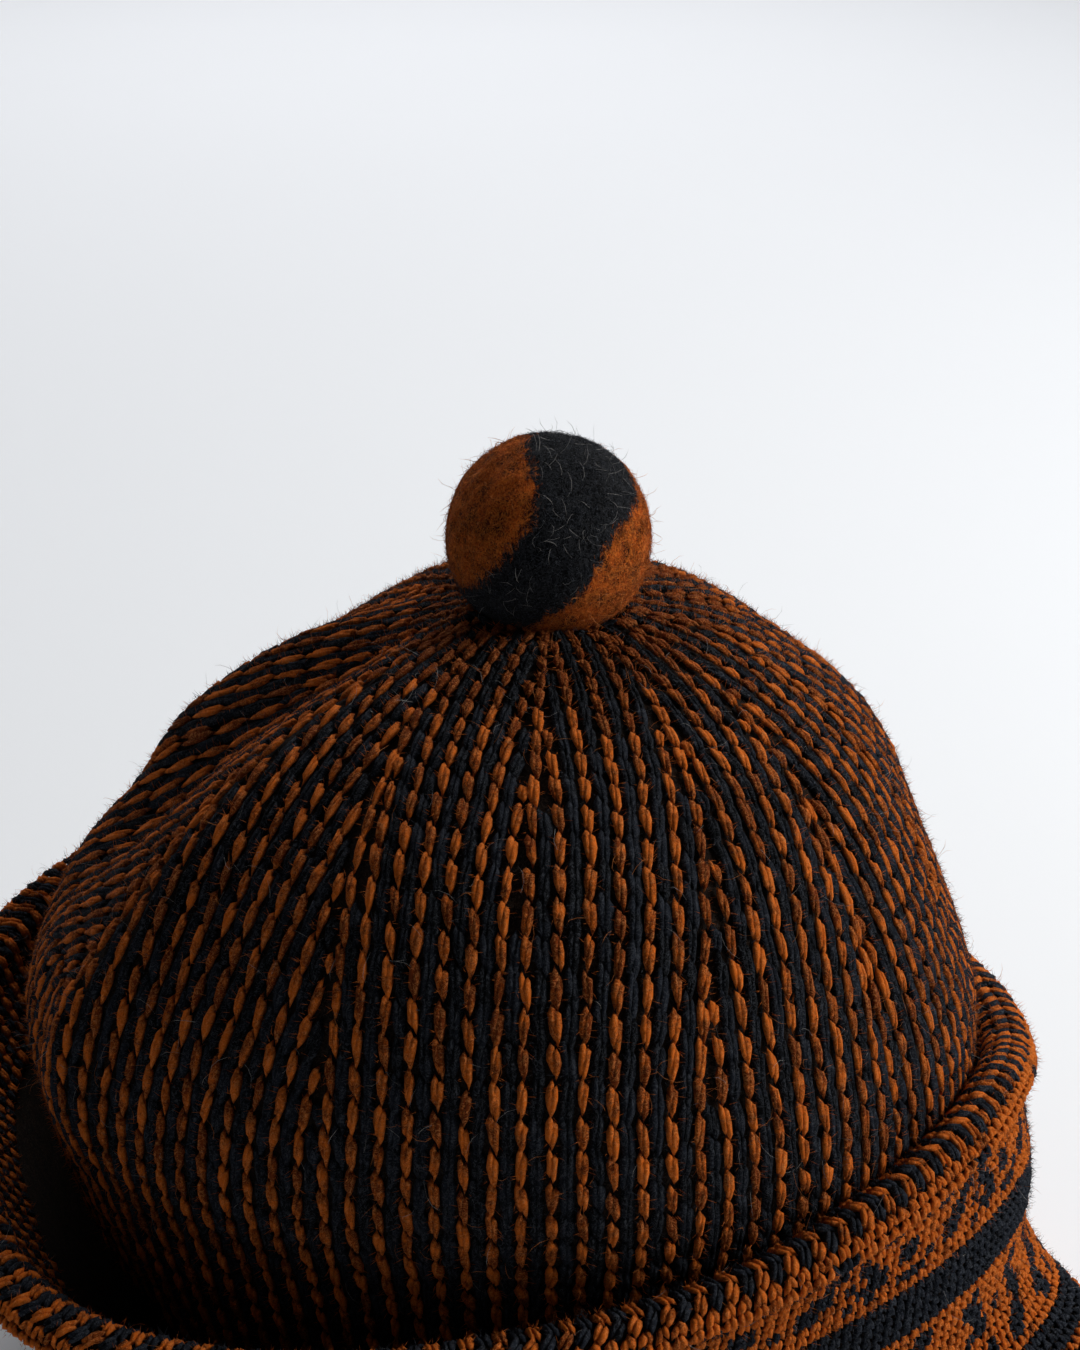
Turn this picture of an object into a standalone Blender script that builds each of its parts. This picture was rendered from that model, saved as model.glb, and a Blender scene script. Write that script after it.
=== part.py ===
"""Knit cap: a puffed hollow crown, a turned-up double cuff and a felted ball on the apex.

Metres, +Z up, +X to the cap's right as seen from its front, which faces -Y. The base lies on
z = 0. Azimuths are in degrees from the front, positive towards +X.
"""

from collections import namedtuple
import math

import bmesh
import bpy
import numpy as np

# Driving dimensions, in metres.
CROWN_RADIUS = 0.092
CROWN_HEIGHT = 0.158
KNIT_THICKNESS = 0.0032
CUFF_HEIGHT = 0.080
CUFF_THICKNESS = 0.006
CUFF_ROLL_RADIUS = 0.0049
CUFF_SPLAY = 0.026
POMPOM_DIAMETER = 0.038
POMPOM_SINK = 0.0068
PIECE_GAP = 0.0004

# Mesh counts, and where the rings of points lie: on the crown as shares of the way up the knit,
# on the cuff's walls as shares of the height below the roll, and on the roll in degrees.
CROWN_AROUND = 90
CROWN_BASE_RING = 0.9
CROWN_WALL_RINGS = np.linspace(0.07, 0.885, 14)
CROWN_TOP_RINGS = (0.915, 0.938, 0.958, 0.979)
CUFF_AROUND = 72
CUFF_WALL_RINGS = (0.0, 0.07, 0.15, 0.27, 0.52, 0.82)
CUFF_ROLL_RINGS = (180, 144, 108, 72, 36, 0)
POMPOM_SUBDIVISIONS = 4
HEIGHT_SAMPLES = 801

# Colours, as sRGB hex.
CROWN_COLOUR = "5C3A24"
CUFF_COLOUR = "8A4A20"
POMPOM_COLOUR = "7C441F"

# A row per section of the crown, base to apex: height as a share of CROWN_HEIGHT, and the
# radius to each side of the apex's axis as a share of CROWN_RADIUS.
CrownSection = namedtuple("CrownSection", "height right front left back")
CROWN_SECTIONS = [
    CrownSection(0.000, 0.970, 0.800, 0.900, 0.820),
    CrownSection(0.020, 0.970, 0.800, 0.900, 0.820),
    CrownSection(0.100, 0.965, 0.835, 0.955, 0.850),
    CrownSection(0.236, 0.945, 0.880, 1.030, 0.890),
    CrownSection(0.389, 0.922, 0.930, 1.095, 0.930),
    CrownSection(0.515, 0.905, 0.985, 1.110, 0.955),
    CrownSection(0.623, 0.838, 0.970, 1.035, 0.930),
    CrownSection(0.730, 0.756, 0.890, 0.870, 0.850),
    CrownSection(0.829, 0.655, 0.760, 0.695, 0.740),
    CrownSection(0.910, 0.512, 0.580, 0.495, 0.575),
    CrownSection(0.971, 0.335, 0.340, 0.290, 0.390),
    CrownSection(0.995, 0.150, 0.150, 0.135, 0.180),
    CrownSection(1.000, 0.000, 0.000, 0.000, 0.000),
]

# A row per soft fold of the crown: azimuth at its lower and upper end, where it starts and ends
# as shares of the way up the knit, its height (+ ridge, - valley) as a share of CROWN_RADIUS
# and its half-width as a share of CROWN_RADIUS. Each rises and dies away over FOLD_LEAD of its run.
CrownFold = namedtuple("CrownFold", "azimuth_low azimuth_high start end height width")
CROWN_FOLDS = [
    CrownFold(-62, -57, 0.25, 0.945, 0.052, 0.105),
    CrownFold(-88, -79, 0.38, 0.965, -0.085, 0.120),
    CrownFold(-98, -108, 0.52, 0.86, 0.054, 0.100),
    CrownFold(-102, -118, 0.40, 0.67, -0.036, 0.110),
    CrownFold(-127, -124, 0.63, 0.975, -0.062, 0.120),
    CrownFold(104, 100, 0.50, 0.78, 0.020, 0.120),
    CrownFold(124, 130, 0.44, 0.82, -0.026, 0.130),
    CrownFold(46, 50, 0.30, 0.82, -0.012, 0.060),
    CrownFold(178, 172, 0.34, 0.89, -0.036, 0.150),
    CrownFold(-150, -156, 0.34, 0.87, 0.020, 0.120),
]
FOLD_LEAD = 0.35

# A row per azimuth of the cuff: its height as a share of CUFF_HEIGHT, and how far it stands off
# the crown at the floor, the skirt, the knee, the wall and the rim, as shares of CUFF_SPLAY.
CuffSection = namedtuple("CuffSection", "azimuth top floor skirt knee wall rim")
CUFF_SECTIONS = [
    CuffSection(-165, 0.925, 0.00, 0.02, 0.05, 0.14, 0.24),
    CuffSection(-140, 0.945, 0.00, 0.03, 0.08, 0.20, 0.38),
    CuffSection(-115, 0.910, 0.00, 0.04, 0.12, 0.28, 0.48),
    CuffSection(-90, 0.863, 0.00, 0.05, 0.13, 0.31, 0.52),
    CuffSection(-68, 0.825, 0.00, 0.06, 0.15, 0.32, 0.53),
    CuffSection(-46, 0.800, 0.00, 0.08, 0.24, 0.56, 0.86),
    CuffSection(-25, 0.813, 0.00, 0.07, 0.19, 0.42, 0.66),
    CuffSection(-5, 0.875, 0.00, 0.04, 0.10, 0.22, 0.38),
    CuffSection(15, 0.938, 0.00, 0.03, 0.06, 0.11, 0.19),
    CuffSection(35, 0.988, 0.02, 0.04, 0.05, 0.07, 0.06),
    CuffSection(52, 0.990, 0.26, 0.14, 0.09, 0.09, 0.03),
    CuffSection(68, 0.955, 0.74, 0.40, 0.17, 0.15, 0.04),
    CuffSection(83, 0.865, 0.84, 0.44, 0.20, 0.20, 0.08),
    CuffSection(97, 0.805, 0.30, 0.24, 0.20, 0.19, 0.09),
    CuffSection(114, 0.775, 0.03, 0.06, 0.10, 0.10, 0.06),
    CuffSection(138, 0.810, 0.00, 0.04, 0.06, 0.07, 0.06),
    CuffSection(165, 0.885, 0.00, 0.03, 0.05, 0.08, 0.14),
]
CUFF_SECTION_HEIGHTS = (0.0, 0.13, 0.27, 0.62, 1.0)

# The soft crease where the flared lower corner of the cuff starts: azimuth, top as a share of
# the cuff's height, depth as a share of CUFF_SPLAY, half-width as a share of CROWN_RADIUS.
CuffCrease = namedtuple("CuffCrease", "azimuth top depth width")
CUFF_CREASE = CuffCrease(58, 0.42, 0.16, 0.055)

# Low dents of the ball, each a direction, a depth as a share of its radius and a half-angle.
# They fade in from DENTS_START up over DENTS_FADE, as shares of the radius above its centre.
PompomDent = namedtuple("PompomDent", "azimuth elevation depth spread")
POMPOM_DENTS = [
    PompomDent(-60, 25, 0.022, 34),
    PompomDent(25, 50, 0.018, 30),
    PompomDent(100, 5, 0.020, 36),
    PompomDent(-20, -12, 0.014, 26),
    PompomDent(170, 30, 0.022, 40),
]
DENTS_START = -0.45
DENTS_FADE = 0.5


def through(xs, ys, at):
    """A smooth curve through the points (xs, ys), read at the places `at`."""
    xs, ys = np.asarray(xs, float), np.asarray(ys, float)
    step = np.diff(xs)
    rise = np.diff(ys) / step
    slope = np.empty_like(ys)
    slope[1:-1] = (step[1:] * rise[:-1] + step[:-1] * rise[1:]) / (step[1:] + step[:-1])
    slope[0], slope[-1] = rise[0], rise[-1]
    i = np.clip(np.searchsorted(xs, at) - 1, 0, len(xs) - 2)
    u = (at - xs[i]) / step[i]
    start = (1 + 2 * u) * (1 - u) ** 2 * ys[i] + u * (1 - u) ** 2 * step[i] * slope[i]
    end = u * u * (3 - 2 * u) * ys[i + 1] + u * u * (u - 1) * step[i] * slope[i + 1]
    return start + end


def round_through(azimuths, values, at):
    """The same round a full turn, with azimuths in degrees."""
    azimuths, values = list(azimuths), list(values)
    before = [a - 360 for a in azimuths[-3:]]
    after = [a + 360 for a in azimuths[:3]]
    turned = (np.asarray(at, float) + 180) % 360 - 180
    xs = before + azimuths + after
    return through(xs, values[-3:] + values + values[:3], turned)


def turn_between(azimuth, other):
    """The turn from `other` to `azimuth` in degrees, within half a turn."""
    return (azimuth - other + 180) % 360 - 180


def ease(share):
    share = np.clip(share, 0, 1)
    return share * share * (3 - 2 * share)


def section_stations():
    """How far up the knit each section is, as a share of the arc from base to apex."""
    radius = np.array([sum(s[1:]) / 4 for s in CROWN_SECTIONS]) * CROWN_RADIUS
    height = np.array([s.height for s in CROWN_SECTIONS]) * CROWN_HEIGHT
    arc = np.concatenate([[0], np.cumsum(np.hypot(np.diff(radius), np.diff(height)))])
    return arc / arc[-1]


def crown_height(share):
    return through(section_stations(), [s.height for s in CROWN_SECTIONS], share) * CROWN_HEIGHT


def share_at_height(height):
    shares = np.linspace(0, 1, HEIGHT_SAMPLES)
    return np.interp(height, np.maximum.accumulate(crown_height(shares)), shares)


def crown_radius(azimuth, share):
    """The crown's outer radius about the apex's axis, folds included."""
    stations = section_stations()
    columns = zip(*[s[1:] for s in CROWN_SECTIONS])
    right, front, left, back = (through(stations, column, share) for column in columns)
    sine, cosine = np.sin(np.radians(azimuth)), np.cos(np.radians(azimuth))
    across = np.where(sine > 0, right, left) * sine**2
    along = np.where(cosine > 0, front, back) * cosine**2
    radius = (across + along) * CROWN_RADIUS
    folded = radius.copy()
    for fold in CROWN_FOLDS:
        way = (share - fold.start) / (fold.end - fold.start)
        lead = ease(way / FOLD_LEAD) * ease((1 - way) / FOLD_LEAD)
        middle = fold.azimuth_low + (fold.azimuth_high - fold.azimuth_low) * np.clip(way, 0, 1)
        aside = np.radians(turn_between(azimuth, middle)) * radius / (fold.width * CROWN_RADIUS)
        folded = folded + lead * fold.height * CROWN_RADIUS * np.exp(-(aside**2))
    return folded


def pompom_centre():
    return CROWN_HEIGHT - POMPOM_SINK + POMPOM_DIAMETER / 2


def crown_point(azimuth, share):
    """A point of the crown's outside, pressed down where the ball sits in it."""
    radius = crown_radius(azimuth, share)
    height = crown_height(share) + 0 * radius
    seat = POMPOM_DIAMETER / 2 + PIECE_GAP
    under = seat**2 - np.minimum(radius, seat) ** 2
    height = np.where(radius < seat, np.minimum(height, pompom_centre() - np.sqrt(under)), height)
    turn = np.radians(azimuth)
    return np.stack([radius * np.sin(turn), -radius * np.cos(turn), height], -1)


def cuff_top(azimuth):
    rows = CUFF_SECTIONS
    return round_through([r.azimuth for r in rows], [r.top for r in rows], azimuth) * CUFF_HEIGHT


def cuff_middle(azimuth, height):
    """The radius of the middle of the cuff's thickness at a height above the floor."""
    azimuths = [r.azimuth for r in CUFF_SECTIONS]
    columns = list(zip(*[r[2:] for r in CUFF_SECTIONS]))
    offs = np.stack([round_through(azimuths, column, azimuth) for column in columns])
    rim = cuff_top(azimuth) - CUFF_ROLL_RADIUS
    share = np.clip(height / rim, 0, 1)
    off = np.array([through(CUFF_SECTION_HEIGHTS, offs[:, j], share[j])
                    for j in range(len(share))])
    off = np.maximum(off, 0) * CUFF_SPLAY
    radius = crown_radius(azimuth, share_at_height(height))
    aside = np.radians(turn_between(azimuth, CUFF_CREASE.azimuth)) * radius
    pinch = np.exp(-((aside / (CUFF_CREASE.width * CROWN_RADIUS)) ** 2))
    pinch = pinch * ease(1 - share / CUFF_CREASE.top) * CUFF_CREASE.depth * CUFF_SPLAY
    return radius + PIECE_GAP + CUFF_THICKNESS / 2 + np.maximum(off - pinch, 0)


def cuff_section(azimuth):
    """Rings of (radius, height) up the inside, over the rounded roll and down the outside."""
    rim = cuff_top(azimuth) - CUFF_ROLL_RADIUS
    spread = max(CUFF_ROLL_RADIUS - CUFF_THICKNESS / 2, 0)
    rings = []
    for share in CUFF_WALL_RINGS:
        middle = cuff_middle(azimuth, share * rim)
        rings.append((middle - CUFF_THICKNESS / 2, share * rim))
    middle = cuff_middle(azimuth, rim) + spread
    for angle in CUFF_ROLL_RINGS:
        turn = math.radians(angle)
        out = middle + CUFF_ROLL_RADIUS * math.cos(turn)
        rings.append((out, rim + CUFF_ROLL_RADIUS * math.sin(turn)))
    for share in reversed(CUFF_WALL_RINGS):
        middle = cuff_middle(azimuth, share * rim)
        rings.append((middle + CUFF_THICKNESS / 2, share * rim))
    return rings


def linear(colour):
    """A hex sRGB colour as linear red, green and blue."""
    values = [int(colour[i:i + 2], 16) / 255 for i in (0, 2, 4)]
    return [v / 12.92 if v <= 0.04045 else ((v + 0.055) / 1.055) ** 2.4 for v in values]


def wool(name, colour):
    material = bpy.data.materials.new(name)
    material.use_nodes = True
    shader = material.node_tree.nodes["Principled BSDF"]
    shader.inputs["Base Color"].default_value = (*linear(colour), 1)
    shader.inputs["Roughness"].default_value = 0.9
    material.diffuse_color = (*linear(colour), 1)
    return material


def add_piece(name, mesh, material, collection):
    piece = bpy.data.objects.new(name, mesh)
    mesh.materials.append(material)
    mesh.polygons.foreach_set("use_smooth", [True] * len(mesh.polygons))
    collection.objects.link(piece)
    return piece


def ring_mesh(name, rings, closed, pole=None):
    """A mesh through rings of points; `closed` joins the last ring back to the first."""
    around = len(rings[0])
    points = [tuple(p) for ring in rings for p in ring]
    faces = []
    pairs = list(zip(range(len(rings)), range(1, len(rings))))
    if closed:
        pairs.append((len(rings) - 1, 0))
    for low, high in pairs:
        for j in range(around):
            k = (j + 1) % around
            faces.append((low * around + j, low * around + k, high * around + k, high * around + j))
    if pole is not None:
        last = (len(rings) - 1) * around
        points.append(tuple(pole))
        for j in range(around):
            faces.append((last + j, last + (j + 1) % around, len(points) - 1))
    mesh = bpy.data.meshes.new(name)
    mesh.from_pydata(points, [], faces)
    mesh.update()
    return mesh


def build_crown(material, collection, centre):
    """The shell: its outside as an open surface, thickened inwards by the knit."""
    azimuth = np.arange(CROWN_AROUND) * 360 / CROWN_AROUND - 180
    base = section_stations()[1] * CROWN_BASE_RING
    shares = [0.0, base, *CROWN_WALL_RINGS, *CROWN_TOP_RINGS]
    rings = [crown_point(azimuth, np.full_like(azimuth, share)) - centre for share in shares]
    pole = crown_point(np.zeros(1), np.ones(1))[0] - centre
    mesh = ring_mesh("crown", rings, closed=False, pole=pole)
    crown = add_piece("crown", mesh, material, collection)
    thick = crown.modifiers.new("knit", "SOLIDIFY")
    thick.thickness = KNIT_THICKNESS
    thick.offset = -1
    thick.use_even_offset = True
    return crown


def build_cuff(material, collection, centre):
    """The turned-up band as a closed loft of unlike sections."""
    azimuth = np.arange(CUFF_AROUND) * 360 / CUFF_AROUND - 180
    turn = np.radians(azimuth)
    rings = []
    for radius, height in reversed(cuff_section(azimuth)):
        ring = np.stack([radius * np.sin(turn), -radius * np.cos(turn), height + 0 * radius], -1)
        rings.append(ring - centre)
    return add_piece("cuff", ring_mesh("cuff", rings, closed=True), material, collection)


def build_pompom(material, collection, centre):
    """A ball with low dents over its upper part, smooth below, where it is seated."""
    ball = bmesh.new()
    radius = POMPOM_DIAMETER / 2
    bmesh.ops.create_icosphere(ball, subdivisions=POMPOM_SUBDIVISIONS, radius=radius)
    for vert in ball.verts:
        way = vert.co.normalized()
        depth = 0.0
        for dent in POMPOM_DENTS:
            flat = math.cos(math.radians(dent.elevation))
            turn = math.radians(dent.azimuth)
            along = flat * math.sin(turn) * way.x - flat * math.cos(turn) * way.y
            along += math.sin(math.radians(dent.elevation)) * way.z
            apart = math.degrees(math.acos(max(-1.0, min(1.0, along)))) / dent.spread
            depth += dent.depth * math.exp(-apart * apart)
        vert.co *= 1 - depth * float(ease((way.z - DENTS_START) / DENTS_FADE))
        vert.co.z += pompom_centre()
        vert.co.x -= centre[0]
        vert.co.y -= centre[1]
    mesh = bpy.data.meshes.new("pompom")
    ball.to_mesh(mesh)
    ball.free()
    return add_piece("pompom", mesh, material, collection)


def plan_centre():
    """The middle of the plan, so that the cap's box is centred on the origin."""
    azimuth = np.arange(CUFF_AROUND) * 360 / CUFF_AROUND - 180
    turn = np.radians(azimuth)
    xs, ys = [], []
    for radius, _ in cuff_section(azimuth):
        xs.append(radius * np.sin(turn))
        ys.append(-radius * np.cos(turn))
    xs, ys = np.concatenate(xs), np.concatenate(ys)
    return np.array([(xs.min() + xs.max()) / 2, (ys.min() + ys.max()) / 2, 0.0])


def clear_scene():
    for item in list(bpy.data.objects):
        bpy.data.objects.remove(item, do_unlink=True)


def main():
    clear_scene()
    collection = bpy.data.collections.new("knit_cap")
    bpy.context.scene.collection.children.link(collection)
    centre = plan_centre()
    build_crown(wool("crown_wool", CROWN_COLOUR), collection, centre)
    build_cuff(wool("cuff_wool", CUFF_COLOUR), collection, centre)
    build_pompom(wool("pompom_felt", POMPOM_COLOUR), collection, centre)


main()
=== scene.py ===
"""Looks of the knit cap: stitches, felt ball, wool fuzz and a pale studio round the CAD frame.

Metres, +Z up. Azimuths are in degrees from the cap's front, which faces -Y, positive towards +X,
and turn about the upright axis through the gathered apex.
"""

import sys
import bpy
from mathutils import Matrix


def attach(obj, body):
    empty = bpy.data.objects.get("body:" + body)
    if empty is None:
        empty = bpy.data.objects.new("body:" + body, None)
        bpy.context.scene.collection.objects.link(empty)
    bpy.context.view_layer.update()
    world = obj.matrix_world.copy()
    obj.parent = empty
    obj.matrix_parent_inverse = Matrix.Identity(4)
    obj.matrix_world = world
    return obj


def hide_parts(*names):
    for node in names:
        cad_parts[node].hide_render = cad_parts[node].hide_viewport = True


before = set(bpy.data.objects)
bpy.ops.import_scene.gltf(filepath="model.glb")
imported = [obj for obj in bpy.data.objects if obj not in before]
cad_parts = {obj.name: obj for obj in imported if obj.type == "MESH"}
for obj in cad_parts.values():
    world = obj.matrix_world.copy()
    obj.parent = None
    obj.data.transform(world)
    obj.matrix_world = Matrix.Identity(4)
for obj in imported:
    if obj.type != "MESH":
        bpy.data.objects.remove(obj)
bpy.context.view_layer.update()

import logging
import math
from dataclasses import dataclass, field, replace
from enum import Enum
from typing import Any, NamedTuple, Sequence

import bmesh
import bpy
import numpy as np
from mathutils import Vector

LOG = logging.getLogger("knit_cap")
BODY = "root"
MM = 0.001
# The lowest that a stitch or fibre reaches, and the foot of the knit that they stand on.
LOWEST = 0.0002
GROUND_FOOT = 0.0004


class Yarn(Enum):
    """The two yarns that the cap is knitted and felted from."""

    RUST = "rust"
    CHARCOAL = "charcoal"


class CrownSection(NamedTuple):
    """A level section of the crown: its height and its radius to each side, as shares."""

    height: float
    right: float
    front: float
    left: float
    back: float


class CrownFold(NamedTuple):
    """A soft fold of the crown: where it runs, how high it stands and how wide it is."""

    azimuth_low: float
    azimuth_high: float
    start: float
    end: float
    height: float
    width: float


class CuffSection(NamedTuple):
    """An upright section of the cuff: its height and how far it stands off, as shares."""

    azimuth: float
    top: float
    floor: float
    skirt: float
    knee: float
    wall: float
    rim: float


class CuffCrease(NamedTuple):
    """The soft crease beside the cuff's flared corner."""

    azimuth: float
    top: float
    depth: float
    width: float


class PompomDent(NamedTuple):
    """A low dent of the felt ball."""

    azimuth: float
    elevation: float
    depth: float
    spread: float


class Ramp(NamedTuple):
    """A smooth change on the way up: where it starts and over how much of the way."""

    start: float
    over: float

    def at(self, share: np.ndarray | float) -> np.ndarray:
        """How far the change has come, from 0 to 1."""
        return ease((share - self.start) / self.over)


class GoreEdge(NamedTuple):
    """A line of decreases up the crown, from its foot to its head near the apex.

    The columns of the gore after it run along it by `lead`, and along the next line by the rest.
    """

    azimuth_low: float
    azimuth_high: float
    foot: float = 0.46
    lead: float = 0.5
    head: float = 0.95

    def line(self, share: np.ndarray) -> np.ndarray:
        """The azimuths of the line at shares of the way up."""
        climb = ease((share - self.foot) / (self.head - self.foot))
        return self.azimuth_low + (self.azimuth_high - self.azimuth_low) * climb


class CrownWale(NamedTuple):
    """How one yarn's columns look on the crown.

    Its stitches' width is a share of half a pair's pitch, their length of the row, and they
    are sunk below the surface in metres. `sides` rounds each leg, `nap` counts a stitch's
    short fibres and `seed` sets its small differences.
    """

    broad: float
    long: float
    sunk: float
    sides: int
    nap: int
    seed: int


class CuffRib(NamedTuple):
    """One yarn's ribs over the rolled edge: their width in metres and their seed."""

    yarn: Yarn
    width: float
    seed: int


class StudioLight(NamedTuple):
    """A round soft light: its place and size in metres, its power and its colour."""

    name: str
    place: tuple[float, float, float]
    size: float
    watts: float
    colour: str


class BandStation(NamedTuple):
    """A place on the ball's charcoal band: its direction and half its width over the radius."""

    azimuth: float
    elevation: float
    half_width: float


CROWN_SECTIONS = (
    CrownSection(0.000, 0.970, 0.800, 0.900, 0.820),
    CrownSection(0.020, 0.970, 0.800, 0.900, 0.820),
    CrownSection(0.100, 0.965, 0.835, 0.955, 0.850),
    CrownSection(0.236, 0.945, 0.880, 1.030, 0.890),
    CrownSection(0.389, 0.922, 0.930, 1.095, 0.930),
    CrownSection(0.515, 0.905, 0.985, 1.110, 0.955),
    CrownSection(0.623, 0.838, 0.970, 1.035, 0.930),
    CrownSection(0.730, 0.756, 0.890, 0.870, 0.850),
    CrownSection(0.829, 0.655, 0.760, 0.695, 0.740),
    CrownSection(0.910, 0.512, 0.580, 0.495, 0.575),
    CrownSection(0.971, 0.335, 0.340, 0.290, 0.390),
    CrownSection(0.995, 0.150, 0.150, 0.135, 0.180),
    CrownSection(1.000, 0.000, 0.000, 0.000, 0.000),
)

CROWN_FOLDS = (
    CrownFold(-62, -57, 0.25, 0.945, 0.052, 0.105),
    CrownFold(-88, -79, 0.38, 0.965, -0.085, 0.120),
    CrownFold(-98, -108, 0.52, 0.86, 0.054, 0.100),
    CrownFold(-102, -118, 0.40, 0.67, -0.036, 0.110),
    CrownFold(-127, -124, 0.63, 0.975, -0.062, 0.120),
    CrownFold(104, 100, 0.50, 0.78, 0.020, 0.120),
    CrownFold(124, 130, 0.44, 0.82, -0.026, 0.130),
    CrownFold(46, 50, 0.30, 0.82, -0.012, 0.060),
    CrownFold(178, 172, 0.34, 0.89, -0.036, 0.150),
    CrownFold(-150, -156, 0.34, 0.87, 0.020, 0.120),
)

CUFF_SECTIONS = (
    CuffSection(-165, 0.925, 0.00, 0.02, 0.05, 0.14, 0.24),
    CuffSection(-140, 0.945, 0.00, 0.03, 0.08, 0.20, 0.38),
    CuffSection(-115, 0.910, 0.00, 0.04, 0.12, 0.28, 0.48),
    CuffSection(-90, 0.863, 0.00, 0.05, 0.13, 0.31, 0.52),
    CuffSection(-68, 0.825, 0.00, 0.06, 0.15, 0.32, 0.53),
    CuffSection(-46, 0.800, 0.00, 0.08, 0.24, 0.56, 0.86),
    CuffSection(-25, 0.813, 0.00, 0.07, 0.19, 0.42, 0.66),
    CuffSection(-5, 0.875, 0.00, 0.04, 0.10, 0.22, 0.38),
    CuffSection(15, 0.938, 0.00, 0.03, 0.06, 0.11, 0.19),
    CuffSection(35, 0.988, 0.02, 0.04, 0.05, 0.07, 0.06),
    CuffSection(52, 0.990, 0.26, 0.14, 0.09, 0.09, 0.03),
    CuffSection(68, 0.955, 0.74, 0.40, 0.17, 0.15, 0.04),
    CuffSection(83, 0.865, 0.84, 0.44, 0.20, 0.20, 0.08),
    CuffSection(97, 0.805, 0.30, 0.24, 0.20, 0.19, 0.09),
    CuffSection(114, 0.775, 0.03, 0.06, 0.10, 0.10, 0.06),
    CuffSection(138, 0.810, 0.00, 0.04, 0.06, 0.07, 0.06),
    CuffSection(165, 0.885, 0.00, 0.03, 0.05, 0.08, 0.14),
)
CUFF_SECTION_HEIGHTS = (0.0, 0.13, 0.27, 0.62, 1.0)

POMPOM_DENTS = (
    PompomDent(-60, 25, 0.022, 34),
    PompomDent(25, 50, 0.018, 30),
    PompomDent(100, 5, 0.020, 36),
    PompomDent(-20, -12, 0.014, 26),
    PompomDent(170, 30, 0.022, 40),
)

# Lines of decreases round the crown. Between two of them the stitch columns run side by side.
GORE_EDGES = (
    GoreEdge(-62, -60),
    GoreEdge(-24, -38),
    GoreEdge(-3, -3),
    GoreEdge(16, 33),
    GoreEdge(45, 54),
    GoreEdge(78, 80),
    GoreEdge(106, 107),
    GoreEdge(134, 134),
    GoreEdge(162, 162),
    GoreEdge(186, 190, 0.15),
    GoreEdge(206, 232, 0.12),
    GoreEdge(232, 284, 0.12, 1.0),
)

CROWN_WALES = {
    Yarn.RUST: CrownWale(0.94, 1.03, 0.0001, 5, 10, 101),
    Yarn.CHARCOAL: CrownWale(1.18, 1.40, 0.0004, 4, 8, 202),
}

CUFF_RIBS = (
    CuffRib(Yarn.RUST, 0.0024, 303),
    CuffRib(Yarn.CHARCOAL, 0.0025, 404),
)

# The cuff's knitting chart from the rolled edge down, x for charcoal: blots and leaves between
# plain rows, a band, a lightning zigzag and a second band. It repeats round the cuff.
CUFF_CHART = (
    "..............",
    ".....xx.......",
    "....xxx.......",
    "...xxxx...xx..",
    "..xxxx...x..x.",
    ".x.xx..x...xx.",
    "......xx.x....",
    "x....xx..xx..x",
    "x...xxx.x.xx.x",
    "..x.xx...xxx..",
    "xx......x.x..x",
    "..............",
    "xxxxxxxxxxxxxx",
    "xxxxxxxxxxxxxx",
    "xxxxxxxxxxxxxx",
    "xxxxxxxxxxxxxx",
    "xxxxxxxxxxxxxx",
    "..............",
    "..xx.....x....",
    ".xxx....xx....",
    ".xx.....xxx...",
    "..xx.....xx..x",
    "..xxx.....xx.x",
    "...xx....xxx..",
    "..xx....xx....",
    ".xxx...xxx..x.",
    ".xx.....xx..x.",
    "..............",
    "xxxxxxxxxxxxxx",
    "xxxxxxxxxxxxxx",
    "xxxxxxxxxxxxxx",
    "..............",
)

# The charcoal band swirled into the felt ball, from its crown down its front and round behind.
BALL_BAND = (
    BandStation(67, 70, 0.56),
    BandStation(47, 57, 0.60),
    BandStation(16, 27, 0.38),
    BandStation(2, 5, 0.41),
    BandStation(-25, -21, 0.34),
    # These two stations lay the dark felt low over the ball's left, so that side is dark below
    # its front.
    BandStation(-52, -35, 0.30),
    BandStation(-95, -38, 0.30),
    BandStation(-150, -14, 0.34),
    BandStation(-176, 22, 0.38),
    BandStation(170, 60, 0.42),
)

# A key from the right, a large light from behind and above, and a faint fill on the left.
STUDIO_LIGHTS = (
    StudioLight("key_light", (1.25, -0.05, 0.80), 0.8, 22.6, "FFFDFA"),
    StudioLight("back_light", (-0.1, 1.9, 1.8), 1.8, 42.0, "FEFDFF"),
    StudioLight("fill_light", (-1.3, -1.0, 0.9), 1.4, 0.2, "F2F6FF"),
)


def through(xs: Sequence[float], ys: Sequence[float], at: np.ndarray) -> np.ndarray:
    """Read a smooth curve through given points.

    Args:
        xs: The places of the points, rising.
        ys: Their values.
        at: Where to read the curve.

    Returns:
        The curve's values there.
    """
    xs, ys = np.asarray(xs, float), np.asarray(ys, float)
    step = np.diff(xs)
    rise = np.diff(ys) / step
    slope = np.empty_like(ys)
    slope[1:-1] = (step[1:] * rise[:-1] + step[:-1] * rise[1:]) / (step[1:] + step[:-1])
    slope[0], slope[-1] = rise[0], rise[-1]
    i = np.clip(np.searchsorted(xs, at) - 1, 0, len(xs) - 2)
    u = (at - xs[i]) / step[i]
    start = (1 + 2 * u) * (1 - u) ** 2 * ys[i] + u * (1 - u) ** 2 * step[i] * slope[i]
    end = u * u * (3 - 2 * u) * ys[i + 1] + u * u * (u - 1) * step[i] * slope[i + 1]
    return start + end


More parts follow.
